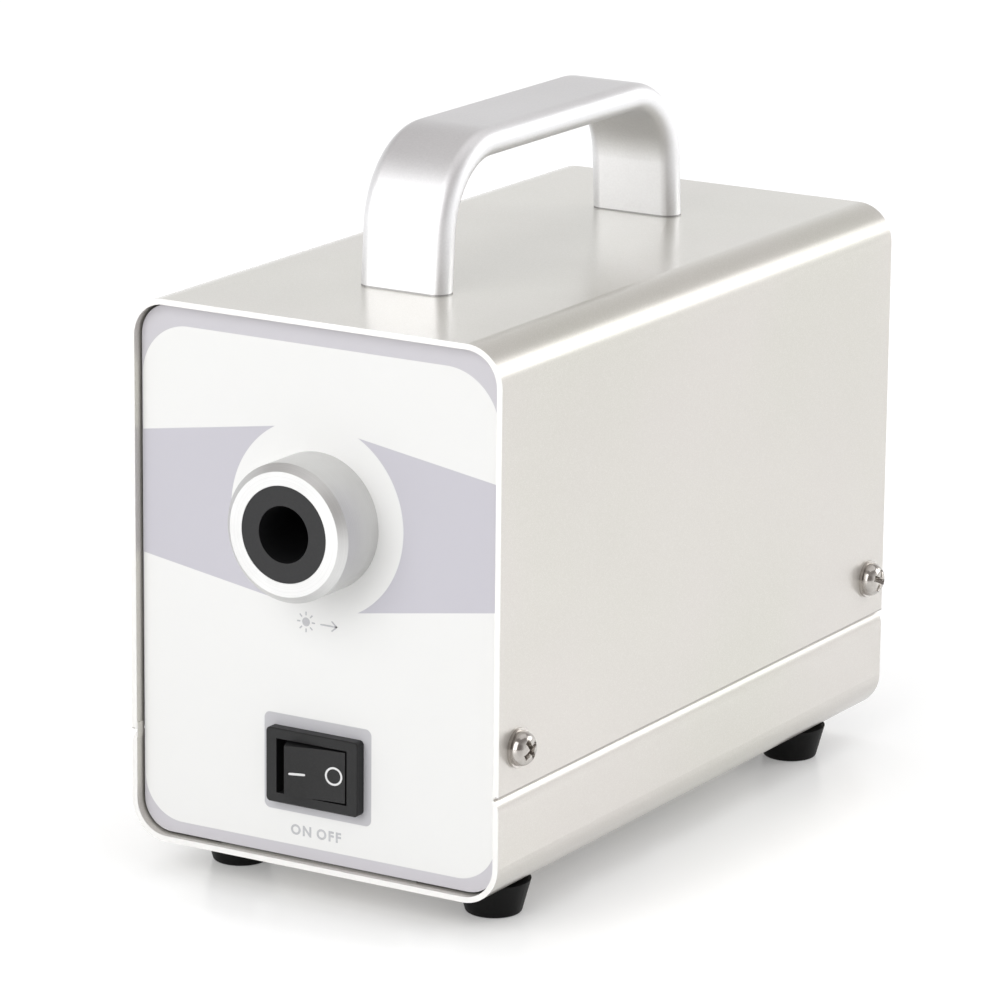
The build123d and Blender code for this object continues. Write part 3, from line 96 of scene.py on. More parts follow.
def open_group(name, takes, gives):
    """A node group with named sockets: its tree, its inputs and its outputs."""
    kinds = {"v": "NodeSocketVector", "c": "NodeSocketColor", "f": "NodeSocketFloat"}
    tree = bpy.data.node_groups.new(name, "ShaderNodeTree")
    for label, kind in takes:
        tree.interface.new_socket(label, in_out="INPUT", socket_type=kinds[kind])
    for label, kind in gives:
        tree.interface.new_socket(label, in_out="OUTPUT", socket_type=kinds[kind])
    return tree, tree.nodes.new("NodeGroupInput").outputs, tree.nodes.new("NodeGroupOutput").inputs


def put(tree, outputs, **results):
    """Joins results to the group's outputs by name."""
    for label, socket in results.items():
        tree.links.new(socket, outputs[label])


def gloss_about(tree, value, takes):
    """Roughness: the group's Gloss, moved by its Gloss drift as the value leaves one half."""
    return calc(tree, "MULTIPLY_ADD", calc(tree, "SUBTRACT", value, 0.5), takes["Gloss drift"], takes["Gloss"])


def two_shares(tree, broad, fine, low=0.3):
    """Share of the second tone: 0.6 of it from one noise and 0.4 from another."""
    first = spread(tree, broad, low, 1.0 - low, 0.0, 0.6)
    return calc(tree, "ADD", first, spread(tree, fine, low, 0.7, 0.0, 0.4))


FINISH = (("Color", "c"), ("Roughness", "f"), ("Height", "f"))


def noise(tree, place, scale, detail=2.0, roughness=0.5):
    """Noise value between 0 and 1."""
    inputs = {"Vector": place, "Scale": scale, "Detail": detail, "Roughness": roughness}
    return node(tree, "TexNoise", inputs).outputs[0]


def pearl_paint():
    """Pearl paint: fine bright flakes over slow shade drifts, with a low orange peel, and a painted highlight
    on the front and back rims.
    """
    tree, takes, gives = open_group(
        "pearl paint",
        [
            ("Place", "v"), ("Tone", "c"), ("Flake", "c"), ("Drift tone", "c"), ("Rim tone", "c"),
            ("Rims", "v"), ("Flakes", "f"), ("Peel", "f"), ("Gloss", "f"), ("Gloss drift", "f"),
        ],
        FINISH,
    )
    cells = node(tree, "TexVoronoi", {"Vector": takes["Place"], "Scale": takes["Flakes"]})
    lightness = node(tree, "SeparateColor", {0: cells.outputs["Color"]}).outputs[0]
    drift = noise(tree, takes["Place"], 14.0)
    base = blend(tree, spread(tree, drift, 0.38, 0.62, 0.0, 1.0), takes["Tone"], takes["Drift tone"])
    share = spread(tree, lightness, 0.4, 1.0, 0.0, 0.7)
    depth = node(tree, "SeparateXYZ", {0: takes["Place"]}).outputs[1]
    rims = node(tree, "SeparateXYZ", {0: takes["Rims"]}).outputs
    # Painted highlight: the paint turns paler within RIM_DEPTH of the front and back rims, in place of light
    # caught by rounded edges.
    front = spread(tree, calc(tree, "SUBTRACT", depth, rims[0]), FADE, RIM_DEPTH, 1.0, 0.0)
    back = spread(tree, calc(tree, "SUBTRACT", rims[1], depth), FADE, RIM_DEPTH, 1.0, 0.0)
    flaked = blend(tree, share, base, takes["Flake"])
    painted = blend(tree, calc(tree, "MAXIMUM", front, back), flaked, takes["Rim tone"])
    peel = noise(tree, takes["Place"], takes["Peel"], 1.0)
    smear = noise(tree, takes["Place"], 55.0, 3.0)
    rough = gloss_about(tree, smear, takes)
    put(tree, gives, Color=painted, Roughness=rough, Height=peel)
    return tree


def moulded_skin():
    """Moulded plastic, rubber or ceramic: a fine spark-eroded grain and a slow change of tone and gloss."""
    tree, takes, gives = open_group(
        "moulded skin",
        [
            ("Place", "v"), ("Tone", "c"), ("Pale tone", "c"), ("Patch", "f"), ("Grain", "f"), ("Gloss", "f"),
            ("Gloss drift", "f"),
        ],
        FINISH,
    )
    patch = noise(tree, takes["Place"], takes["Patch"], 3.0)
    grain = noise(tree, takes["Place"], takes["Grain"], 2.0, 0.6)
    tone = blend(tree, two_shares(tree, patch, grain, 0.35), takes["Tone"], takes["Pale tone"])
    put(tree, gives, Color=tone, Roughness=gloss_about(tree, patch, takes), Height=grain)
    return tree


def drawn_metal():
    """Drawn, rolled or blasted metal: noise stretched by the stroke, over a slow stain."""
    tree, takes, gives = open_group(
        "drawn metal",
        [
            ("Place", "v"), ("Tone", "c"), ("Bright tone", "c"), ("Stroke", "v"), ("Stain", "f"),
            ("Gloss", "f"), ("Gloss drift", "f"),
        ],
        FINISH,
    )
    along = node(tree, "VectorMath", {0: takes["Place"], 1: takes["Stroke"]}, operation="MULTIPLY").outputs[0]
    stroke = noise(tree, along, 1.0, 3.0, 0.6)
    stain = noise(tree, takes["Place"], takes["Stain"], 3.0)
    tone = blend(tree, two_shares(tree, stroke, stain), takes["Tone"], takes["Bright tone"])
    mixed = calc(tree, "MULTIPLY_ADD", stain, 0.5, calc(tree, "MULTIPLY_ADD", stroke, 0.5, -0.5))
    rough = calc(tree, "MULTIPLY_ADD", mixed, takes["Gloss drift"], takes["Gloss"])
    put(tree, gives, Color=tone, Roughness=rough, Height=stroke)
    return tree


def turned_metal():
    """Turned metal: tool rings about a front-to-back axis through Centre, a ring every Pitch."""
    tree, takes, gives = open_group(
        "turned metal",
        [
            ("Place", "v"), ("Centre", "v"), ("Pitch", "f"), ("Tone", "c"), ("Bright tone", "c"),
            ("Gloss", "f"), ("Gloss drift", "f"),
        ],
        FINISH,
    )
    apart = node(tree, "VectorMath", {0: takes["Place"], 1: takes["Centre"]}, operation="SUBTRACT").outputs[0]
    flat = node(tree, "VectorMath", {0: apart, 1: (1.0, 0.0, 1.0)}, operation="MULTIPLY").outputs[0]
    radius = node(tree, "VectorMath", {0: flat}, operation="LENGTH").outputs["Value"]
    depth = node(tree, "SeparateXYZ", {0: apart}).outputs[1]
    count = calc(tree, "DIVIDE", calc(tree, "ADD", radius, depth), takes["Pitch"])
    inputs = {"W": count, "Scale": 1.0, "Detail": 2.0}
    rings = node(tree, "TexNoise", inputs, noise_dimensions="1D").outputs[0]
    cloud = noise(tree, takes["Place"], 90.0, 3.0)
    tone = blend(tree, two_shares(tree, rings, cloud), takes["Tone"], takes["Bright tone"])
    put(tree, gives, Color=tone, Roughness=gloss_about(tree, rings, takes), Height=rings)
    return tree


def label_print():
    """Front label: a pale band that narrows to both sides, a white disc on it, a border and a plate."""
    tree, takes, gives = open_group(
        "label print",
        [("Place", "v"), ("White", "c"), ("Band", "c"), ("Border", "c"), ("Plate", "c")],
        (("Color", "c"), ("Gloss mask", "f")),
    )
    apart = node(tree, "SeparateXYZ", {0: takes["Place"]})
    x, z = apart.outputs[0], apart.outputs[2]
    across = calc(tree, "ABSOLUTE", x)

    def inside(distance):
        """1 where the distance is below zero, with a soft printed edge."""
        return spread(tree, distance, -FADE, FADE, 1.0, 0.0)

    def length(first, second):
        """Length of a vector from its two parts."""
        first_square = calc(tree, "MULTIPLY", first, first)
        second_square = calc(tree, "MULTIPLY", second, second)
        return calc(tree, "SQRT", calc(tree, "ADD", first_square, second_square))

    def rounded(centre_x, centre_z, half_x, half_z, corner):
        """Distance to a rectangle with round corners: length of the part past the corner centres."""
        past = []
        for place, centre, half in ((x, centre_x, half_x), (z, centre_z, half_z)):
            offset = calc(tree, "ABSOLUTE", calc(tree, "SUBTRACT", place, centre))
            past.append(calc(tree, "MAXIMUM", calc(tree, "SUBTRACT", offset, half - corner), 0.0))
        return calc(tree, "SUBTRACT", length(*past), corner)

    rise = calc(tree, "ABSOLUTE", calc(tree, "SUBTRACT", z, 68.5 * mm))
    half_band = calc(tree, "MULTIPLY_ADD", across, -0.155, 16.6 * mm)
    band = inside(calc(tree, "SUBTRACT", rise, half_band))
    off_middle = calc(tree, "ADD", x, 0.28 * mm)
    disc = inside(calc(tree, "SUBTRACT", length(off_middle, rise), 17.45 * mm))
    band = calc(tree, "MULTIPLY", band, calc(tree, "SUBTRACT", 1.0, disc))
    low_field = rounded(0.0, 54.12 * mm, 36.0 * mm, 44.65 * mm, 7.8 * mm)
    right_corner = rounded(-6.0 * mm, 48.12 * mm, 42.0 * mm, 50.65 * mm, 10.5 * mm)
    left_corner = rounded(6.0 * mm, 48.12 * mm, 42.0 * mm, 50.65 * mm, 9.4 * mm)
    corners = calc(tree, "MAXIMUM", right_corner, left_corner)
    field = inside(calc(tree, "MAXIMUM", low_field, corners))
    plate = inside(rounded(0.0, 24.1 * mm, 10.95 * mm, 8.7 * mm, 1.2 * mm))
    ink = blend(tree, band, takes["White"], takes["Band"])
    ink = blend(tree, plate, ink, takes["Plate"])
    ink = blend(tree, field, takes["Border"], ink)
    put(tree, gives, **{"Color": ink, "Gloss mask": calc(tree, "MAXIMUM", band, plate)})
    return tree


GROUPS = {
    "pearl": pearl_paint(),
    "moulded": moulded_skin(),
    "drawn": drawn_metal(),
    "turned": turned_metal(),
}
MATERIALS = {}


def colour(red, green, blue):
    """A written colour with full opacity."""
    return (red, green, blue, 1.0)


def finish_of(slot, group, values, bump=0.0, **plain):
    """Material for a slot: a finish group feeds colour, roughness and bump; other sockets as given."""
    made = bpy.data.materials.new(slot.replace("_", " "))
    made.use_nodes = True
    tree = made.node_tree
    shader = tree.nodes["Principled BSDF"]
    place = node(tree, "TexCoord").outputs["Object"]
    finish = node(tree, "Group", node_tree=GROUPS[group])
    tree.links.new(place, finish.inputs["Place"])
    for key, value in values.items():
        finish.inputs[key].default_value = value
    tree.links.new(finish.outputs["Color"], shader.inputs["Base Color"])
    tree.links.new(finish.outputs["Roughness"], shader.inputs["Roughness"])
    if bump:
        inputs = {"Strength": bump, "Distance": GRAIN_DEPTH, "Height": finish.outputs["Height"]}
        relief = node(tree, "Bump", inputs)
        tree.links.new(relief.outputs[0], shader.inputs["Normal"])
    for key, value in plain.items():
        shader.inputs[key.replace("_", " ")].default_value = value
    MATERIALS[slot] = made


def moulded(slot, tone, pale, patch=60.0, grain=2500.0, gloss=0.45, drift=0.15, bump=0.25, **plain):
    """Moulded finish with its tones and grain."""
    values = {
        "Tone": colour(*tone), "Pale tone": colour(*pale), "Patch": patch, "Grain": grain, "Gloss": gloss,
        "Gloss drift": drift,
    }
    finish_of(slot, "moulded", values, bump, **plain)


def drawn(slot, tone, bright, stroke=(900.0, 900.0, 900.0), gloss=0.35, drift=0.2, bump=0.1):
    """Drawn or rolled metal finish."""
    values = {
        "Tone": colour(*tone), "Bright tone": colour(*bright), "Stroke": stroke, "Stain": 40.0,
        "Gloss": gloss, "Gloss drift": drift,
    }
    finish_of(slot, "drawn", values, bump, Metallic=1.0)


# ---------------------------------------------------------------- finishes
CASE_FRONT, CASE_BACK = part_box("upper_cover")[0][1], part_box("upper_cover")[1][1]
# The pale rim colour of the case paint is a painted highlight along its front and back rims.
CASE_TONES = {
    "Tone": colour(0.655, 0.64, 0.575), "Flake": colour(0.76, 0.735, 0.69),
    "Drift tone": colour(0.69, 0.655, 0.615), "Rim tone": colour(0.84, 0.83, 0.81),
    "Rims": (CASE_FRONT, CASE_BACK, 0.0), "Flakes": 7500.0, "Peel": 420.0, "Gloss": 0.31, "Gloss drift": 0.10,
}
finish_of(
    "case_paint", "pearl", CASE_TONES,
    bump=0.12, Metallic=0.45, Coat_Weight=0.8, Coat_Roughness=0.18,
)
# Painted shade: the front panel's paint is near black so the thin gaps round the label show as a dark line.
PANEL_SHADE_TONES = {
    "Tone": colour(0.13, 0.13, 0.125), "Flake": colour(0.17, 0.17, 0.165),
    "Drift tone": colour(0.14, 0.14, 0.135), "Rim tone": colour(0.13, 0.13, 0.125),
    "Rims": (-1.0, 1.0, 0.0), "Flakes": 5200.0, "Peel": 900.0, "Gloss": 0.5, "Gloss drift": 0.10,
}
finish_of("panel_paint", "pearl", PANEL_SHADE_TONES, bump=0.25, Specular_IOR_Level=0.3)
moulded(
    "foot_rubber", (0.003, 0.003, 0.003), (0.007, 0.007, 0.007), gloss=0.5, bump=0.4,
    Specular_IOR_Level=0.15,
)
moulded(
    "bush_plastic", (0.010, 0.010, 0.011), (0.018, 0.018, 0.019), gloss=0.42, bump=0.3,
    Specular_IOR_Level=0.4,
)
moulded(
    "switch_plastic", (0.010, 0.010, 0.0105), (0.019, 0.019, 0.0195), gloss=0.45, bump=0.35, grain=3200.0,
    Specular_IOR_Level=0.32,
)
moulded(
    "rocker_plastic", (0.011, 0.011, 0.0115), (0.020, 0.020, 0.0205), gloss=0.42, bump=0.3, grain=3200.0,
    Specular_IOR_Level=0.32,
)
moulded(
    "inlet_plastic", (0.010, 0.010, 0.011), (0.018, 0.018, 0.019), gloss=0.4, bump=0.3,
    Specular_IOR_Level=0.4,
)
moulded(
    "knob_plastic", (0.010, 0.010, 0.011), (0.020, 0.020, 0.021), gloss=0.42, bump=0.35,
    Specular_IOR_Level=0.4,
)
moulded(
    "fan_plastic", (0.012, 0.012, 0.013), (0.022, 0.022, 0.024), gloss=0.5, bump=0.35,
    Specular_IOR_Level=0.4,
)
moulded("terminal_plastic", (0.03, 0.20, 0.10), (0.05, 0.26, 0.14), gloss=0.4)
moulded("ferrite", (0.035, 0.035, 0.038), (0.06, 0.06, 0.063), gloss=0.6, bump=0.5)
moulded("coil_tape", (0.62, 0.46, 0.08), (0.75, 0.58, 0.14), gloss=0.3)
moulded("capacitor_sleeve", (0.012, 0.022, 0.08), (0.02, 0.035, 0.12), gloss=0.28)
moulded("circuit_board", (0.008, 0.10, 0.04), (0.014, 0.15, 0.065), patch=300.0, gloss=0.32)
moulded("mains_insulation", (0.35, 0.03, 0.02), (0.45, 0.05, 0.035), gloss=0.35)
moulded("earth_insulation", (0.14, 0.33, 0.04), (0.2, 0.42, 0.06), gloss=0.35)
moulded("lead_insulation", (0.03, 0.03, 0.032), (0.05, 0.05, 0.052), gloss=0.35)
moulded("boot_vinyl", (0.5, 0.5, 0.52), (0.62, 0.62, 0.64), gloss=0.35)
moulded("led_phosphor", (0.75, 0.6, 0.1), (0.85, 0.72, 0.2), gloss=0.45)
moulded("white_ink", (0.80, 0.80, 0.80), (0.88, 0.88, 0.88), patch=400.0, gloss=0.45)
moulded("grey_ink", (0.53, 0.53, 0.55), (0.62, 0.62, 0.64), patch=400.0, gloss=0.45)
moulded("black_ink", (0.02, 0.02, 0.021), (0.035, 0.035, 0.036), patch=400.0, gloss=0.45)
drawn("zinc_steel", (0.52, 0.53, 0.54), (0.68, 0.69, 0.7), gloss=0.34)
drawn("nickel_screw", (0.44, 0.415, 0.39), (0.62, 0.595, 0.565), gloss=0.15, drift=0.1)
drawn(
    "handle_aluminium", (0.79, 0.79, 0.80), (0.87, 0.87, 0.88), stroke=(2600.0, 2600.0, 2600.0), gloss=0.5,
    drift=0.12, bump=0.2,
)
drawn("heat_sink_aluminium", (0.62, 0.63, 0.64), (0.76, 0.77, 0.78), stroke=(1500.0, 60.0, 1500.0), gloss=0.4)
drawn("black_anodised", (0.012, 0.012, 0.013), (0.024, 0.024, 0.026), gloss=0.45)
drawn("galvanised_steel", (0.5, 0.51, 0.52), (0.7, 0.71, 0.72), stroke=(160.0, 160.0, 160.0), gloss=0.4)
drawn("coil_copper", (0.55, 0.22, 0.10), (0.72, 0.34, 0.18), stroke=(500.0, 2500.0, 500.0), gloss=0.3)
drawn("tab_brass", (0.62, 0.47, 0.2), (0.76, 0.6, 0.3), gloss=0.3)
drawn("pin_brass", (0.66, 0.6, 0.5), (0.8, 0.74, 0.64), gloss=0.25)
PORT_TONES = {
    "Centre": (0.0, 0.0, PORT_HEIGHT), "Pitch": 0.12 * mm, "Tone": colour(0.60, 0.60, 0.595),
    "Bright tone": colour(0.78, 0.78, 0.775), "Gloss": 0.42, "Gloss drift": 0.3,
}
finish_of("port_aluminium", "turned", PORT_TONES, bump=0.2, Metallic=1.0)
moulded("fuse_glass", (0.75, 0.76, 0.75), (0.82, 0.83, 0.82), gloss=0.1, Transmission_Weight=0.7)
moulded("lens_glass", (0.9, 0.92, 0.91), (0.93, 0.95, 0.94), gloss=0.05, drift=0.02, Transmission_Weight=0.95)


def shade_line(slot, low, high, inner, tone):
    """Painted shade: a dark line over a finish, between two heights and past a half width."""
    tree = MATERIALS[slot].node_tree
    base = tree.nodes["Principled BSDF"].inputs["Base Color"]
    unshaded = base.links[0].from_socket
    place = node(tree, "SeparateXYZ", {0: node(tree, "TexCoord").outputs["Object"]}).outputs
    above = spread(tree, place[2], low, low + FADE, 0.0, 1.0)
    below = spread(tree, place[2], high - FADE, high, 1.0, 0.0)
    outside = spread(tree, calc(tree, "ABSOLUTE", place[0]), inner, inner + FADE, 0.0, 0.6)
    share = calc(tree, "MULTIPLY", calc(tree, "MULTIPLY", above, below), outside)
    tree.links.new(blend(tree, share, unshaded, tone), base)


CASE_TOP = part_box("upper_cover")[1][2]
# Painted shade: a dark line round the handle's feet where they meet the cover, in place of their contact
# shadow.
shade_line("handle_aluminium", CASE_TOP - 1.0 * mm, CASE_TOP + 0.28 * mm, -1.0, colour(0.10, 0.095, 0.09))
# Painted shade: a dark line along the seam gap between cover and tray, on the outside walls only.
shade_line("case_paint", SEAM_LOW, SEAM_HIGH, 36.8 * mm, colour(0.20, 0.18, 0.16))

label = bpy.data.materials.new("label film")
label.use_nodes = True
tree = label.node_tree
printed = node(tree, "Group", node_tree=label_print())
tree.links.new(node(tree, "TexCoord").outputs["Object"], printed.inputs["Place"])
for key, value in {
    "White": colour(0.93, 0.93, 0.918),
    "Band": colour(0.62, 0.607, 0.662),
    "Border": colour(0.645, 0.63, 0.668),
    "Plate": colour(0.58, 0.575, 0.60),
}.items():
    printed.inputs[key].default_value = value
shader = tree.nodes["Principled BSDF"]
tree.links.new(printed.outputs["Color"], shader.inputs["Base Color"])
print_gloss = spread(tree, printed.outputs["Gloss mask"], 0.0, 1.0, 0.34, 0.42)
tree.links.new(print_gloss, shader.inputs["Roughness"])
MATERIALS["label_film"] = label

SLOT_NODES = {
    "case_paint": ["lower_tray", "upper_cover", "rear_panel"],
    "panel_paint": ["front_panel"],
    "label_film": ["front_label"],
    "foot_rubber": ["foot_front_left", "foot_front_right", "foot_rear_left", "foot_rear_right"],
    "zinc_steel": [
        "foot_screws", "clinch_nuts", "handle_screws", "chassis_screws", "hex_nuts", "lens_tube_screws",
        "led_screws", "board_screws", "dimmer_body", "dimmer_shaft",
    ],
    "nickel_screw": ["cover_screws", "flat_washers", "fan_screws", "fan_guard", "dimmer_nut"],
    "handle_aluminium": ["handle"],
    "port_aluminium": ["light_collar", "collar_nut"],
    "bush_plastic": ["light_guide_bush"],
    "black_anodised": ["lens_tube", "lens_retaining_ring"],
    "lens_glass": ["condenser_lens"],
    "heat_sink_aluminium": ["led_board", "heat_sink"],
    "led_phosphor": ["led_emitter"],
    "galvanised_steel": ["heat_sink_bracket"],
    "fan_plastic": ["fan_frame", "fan_rotor"],
    "coil_copper": ["fan_stator", "filter_choke"],
    "circuit_board": ["driver_board"],
    "tab_brass": ["board_standoffs", "switch_terminals", "earth_stud"],
    "ferrite": ["transformer_core"],
    "coil_tape": ["transformer_winding"],
    "capacitor_sleeve": ["input_capacitor", "output_capacitors"],
    "terminal_plastic": ["terminal_blocks"],
    "switch_plastic": ["switch_body"],
    "rocker_plastic": ["switch_rocker"],
    "inlet_plastic": ["inlet_body", "fuse_drawer"],
    "pin_brass": ["inlet_pins"],
    "fuse_glass": ["fuse"],
    "knob_plastic": ["dimmer_knob"],
    "mains_insulation": ["mains_wires"],
    "earth_insulation": ["earth_wire"],
    "lead_insulation": ["led_wires", "control_wires"],
    "boot_vinyl": ["wire_boots"],
}
for slot, names in SLOT_NODES.items():
    for name in names:
        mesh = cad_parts[name].data
        mesh.materials.clear()
        mesh.materials.append(MATERIALS[slot])

# ---------------------------------------------------------------- shapes
HALF_CASE = 37.5 * mm
LABEL_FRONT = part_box("front_label")[0][1]
REAR_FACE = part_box("rear_panel")[1][1]
BEZEL_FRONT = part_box("switch_body")[0][1]
DIAL = (-18.0 * mm, 26.0 * mm)
ROCKER_TILT = radians(11.5)
ROCKER_PIVOT = BEZEL_FRONT + 5.5 * mm
DISH_RADIUS = 35.3 * mm
DISH_CENTRE = 41.61 * mm  # from the pivot, outwards


def grid_piece(name, grids, body, finish, wrap_rows=False, crease=35.0):
    """One piece from grids of points: a face between each four neighbours, with the columns closed."""
    points, faces, count = [], [], 0
    for grid in grids:
        rows, columns = grid.shape[:2]
        row = np.arange(rows if wrap_rows else rows - 1)[:, None]
        column = np.arange(columns)[None, :]
        beside, below = (column + 1) % columns, (row + 1) % rows
        here, under = row * columns, below * columns
        corners = (here + column, here + beside, under + beside, under + column)
        faces.append(np.stack(corners, axis=-1).reshape(-1, 4) + count)
        points.append(grid.reshape(-1, 3))
        count += rows * columns
    mesh = bpy.data.meshes.new(name)
    mesh.from_pydata(np.concatenate(points).tolist(), [], np.concatenate(faces).tolist())
    return finished(name, mesh, body, finish, crease)


def finished(name, mesh, body, finish, crease=35.0):
    """Doubles merged, faces turned outwards, shading soft up to the crease; finish and body given."""
    work = bmesh.new()
    work.from_mesh(mesh)
    bmesh.ops.remove_doubles(work, verts=work.verts, dist=1e-7)
    bmesh.ops.dissolve_degenerate(work, edges=work.edges, dist=1e-8)
    bmesh.ops.recalc_face_normals(work, faces=work.faces)
    work.to_mesh(mesh)
    work.free()
    mesh.shade_smooth()
    mesh.set_sharp_from_angle(angle=radians(crease))
    mesh.materials.append(MATERIALS[finish])
    piece = bpy.data.objects.new(name, mesh)
    bpy.context.scene.collection.objects.link(piece)
    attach(piece, body)
    return piece


def cross_screws(seats, out, across, up, head, height, shank, length, turns):
    """Pan-head screws. Head: radius = half the head times sin(a) to 0.62, rise = height times cos(a).
    The top sinks by the larger of two tapered slots at right angles. A plain shank goes on below."""
    angle = np.linspace(0.0, pi / 2, 44)[:, None]
    round_ = np.linspace(0.0, 2 * pi, 128, endpoint=False)[None, :]
    radius = head / 2 * np.sin(angle) ** 0.62 + 0 * round_
    u, v = radius * np.cos(round_), radius * np.sin(round_)

    def slot_depth(along, beside):
        """1 on a slot's floor, falling to 0 over its tapered sides and ends."""
        end = (0.66 * head / 2 - abs(along)) / (0.2 * head / 2)
        side = (0.17 * head / 2 - abs(beside)) / (0.09 * head / 2)
        return np.clip(np.minimum(end, side), 0.0, 1.0)

    sink = 0.6 * height * np.maximum(slot_depth(u, v), slot_depth(v, u))
    rise = height * np.cos(angle) - sink
    tail_radius = np.array([shank / 2, shank / 2, 0.0])[:, None]
    tail_rise = np.array([0.0, -length, -length])[:, None] + 0 * round_
    u = np.vstack((u, tail_radius * np.cos(round_)))
    v = np.vstack((v, tail_radius * np.sin(round_)))
    rise = np.vstack((rise, tail_rise))
    out, across, up = (np.array(way, float) for way in (out, across, up))
    grids = []
    for seat, turn in zip(seats, turns):
        first = u * cos(turn) - v * sin(turn)
        second = u * sin(turn) + v * cos(turn)
        flat = first[..., None] * across + second[..., None] * up
        grids.append(np.array(seat) + flat + rise[..., None] * out)
    return grids


def bar(centre, half_length, half_width, tilt=0.0, softness=0.4):
    """Outline of a bar: a superellipse, cosine and sine to the power of its softness, turned by tilt."""
    phase = np.linspace(0.0, 2 * pi, 40, endpoint=False)
    x = half_length * np.sign(np.cos(phase)) * abs(np.cos(phase)) ** softness
    z = half_width * np.sign(np.sin(phase)) * abs(np.sin(phase)) ** softness
    across = centre[0] + x * cos(tilt) - z * sin(tilt)
    return np.stack((across, centre[1] + x * sin(tilt) + z * cos(tilt)), axis=-1)


def plaque(outline, lay, proud=INK, sunk=INK):
    """A thin plate on a face: its middle, its outline, the outline again below and the middle below."""
    middle = outline.mean(axis=0) + 0 * outline
    rows = ((middle, proud), (outline, proud), (outline, -sunk), (middle, -sunk))
    return np.stack([lay(row[:, 0], row[:, 1], height) for row, height in rows])


def hoop(centre, inner, outer, lay):
    """A thin ring on a face: inner and outer circle above, outer and inner circle below."""
    phase = np.linspace(0.0, 2 * pi, 72, endpoint=False)
    rows = ((inner, INK), (outer, INK), (outer, -INK), (inner, -INK))
    return np.stack(
        [lay(centre[0] + r * np.cos(phase), centre[1] + r * np.sin(phase), height) for r, height in rows]
    )


def on_label(x, z, height):
    """Point on the label, with its height above it."""
    return np.stack((x, LABEL_FRONT - height + 0 * x, z), axis=-1)


def on_rear(x, z, height):
    """Point on the rear panel, with its height above it."""
    return np.stack((x, REAR_FACE + height + 0 * x, z), axis=-1)


def on_rocker(x, z, height):
    """Point on the dished rocker face: an arc in the plane turned by the rocker's tilt about its pivot."""
    deep = np.sqrt(DISH_RADIUS**2 - x**2) - DISH_CENTRE - height
    across = x * cos(ROCKER_TILT) - deep * sin(ROCKER_TILT)
    back = ROCKER_PIVOT + x * sin(ROCKER_TILT) + deep * cos(ROCKER_TILT)
    return np.stack((across, back, SWITCH_HEIGHT + z), axis=-1)


def on_dial(across, rise, height):
    """Point on the rear panel about the dimmer shaft, as seen from behind."""
    return on_rear(DIAL[0] - across, DIAL[1] + rise, height)


def on_wall(side, y, z, height):
    """Point inside a side wall of the case, with its height towards the wall."""
    return np.stack((side * (36.44 * mm + height) + 0 * y, y, z), axis=-1)


def printed_text(name, words, size, finish, lay, gap=1.0):
    """Flat letters laid on a face: each text is made a mesh, then its points are carried to the face."""
    parts = bmesh.new()
    for text, x, z in words:
        letters = bpy.data.curves.new(name, "FONT")
        letters.body = text
        letters.size = size
        letters.extrude = INK
        letters.offset = 0.08 * mm
        letters.align_x = "CENTER"
        letters.align_y = "CENTER"
        letters.space_character = gap
        letters.resolution_u = 4
        holder = bpy.data.objects.new(name, letters)
        bpy.context.scene.collection.objects.link(holder)
        bpy.context.view_layer.update()
        shaped = holder.evaluated_get(bpy.context.evaluated_depsgraph_get())
        flat = bpy.data.meshes.new_from_object(shaped)
        bpy.data.objects.remove(holder)
        spot = np.empty(len(flat.vertices) * 3)
        flat.vertices.foreach_get("co", spot)
        spot = spot.reshape(-1, 3)
        flat.vertices.foreach_set("co", lay(spot[:, 0] + x, spot[:, 1] + z, spot[:, 2]).ravel())
        parts.from_mesh(flat)
        bpy.data.meshes.remove(flat)
    mesh = bpy.data.meshes.new(name)
    parts.to_mesh(mesh)
    parts.free()
    finished(name, mesh, "case", finish, 20.0)


# ---------------------------------------------------------------- cover screws
SCREW_Y = (CASE_FRONT + 6.2 * mm, CASE_BACK - 6.2 * mm)
heads = []
for side, turns in ((1, (0.55, 1.15)), (-1, (0.9, 0.3))):
    seats = [(side * (HALF_CASE + 0.6 * mm), y, SCREW_HEIGHT) for y in SCREW_Y]
    heads += cross_screws(
        seats, (side, 0, 0), (0, side, 0), (0, 0, 1), 6.2 * mm, 2.3 * mm, 2.9 * mm, 6.6 * mm, turns,
    )
screws = grid_piece("cover_screw_heads", heads, "case", "nickel_screw", crease=28.0)
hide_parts("cover_screws")

# ---------------------------------------------------------------- plates behind the ends of the seam
plates = []
for side in (-1, 1):
    for middle, reach in ((CASE_FRONT + 1.09 * mm, 1.03 * mm), (CASE_BACK - 0.98 * mm, 0.9 * mm)):
        outline = bar((middle, 25.4 * mm), reach, 1.4 * mm, softness=0.1)
        plates.append(plaque(outline, lambda y, z, height: on_wall(side, y, z, height), 0.05 * mm, 0.06 * mm))
grid_piece("seam_plates", plates, "case", "case_paint")

# ---------------------------------------------------------------- marks on the rocker and the label
dash = plaque(bar((-3.35 * mm, -0.37 * mm), 1.49 * mm, 0.21 * mm), on_rocker)
grid_piece("rocker_on_mark", [dash], "rocker", "white_ink")
ring = hoop((3.46 * mm, 0.05 * mm), 1.30 * mm, 1.66 * mm, on_rocker)
grid_piece("rocker_off_mark", [ring], "rocker", "white_ink", wrap_rows=True)

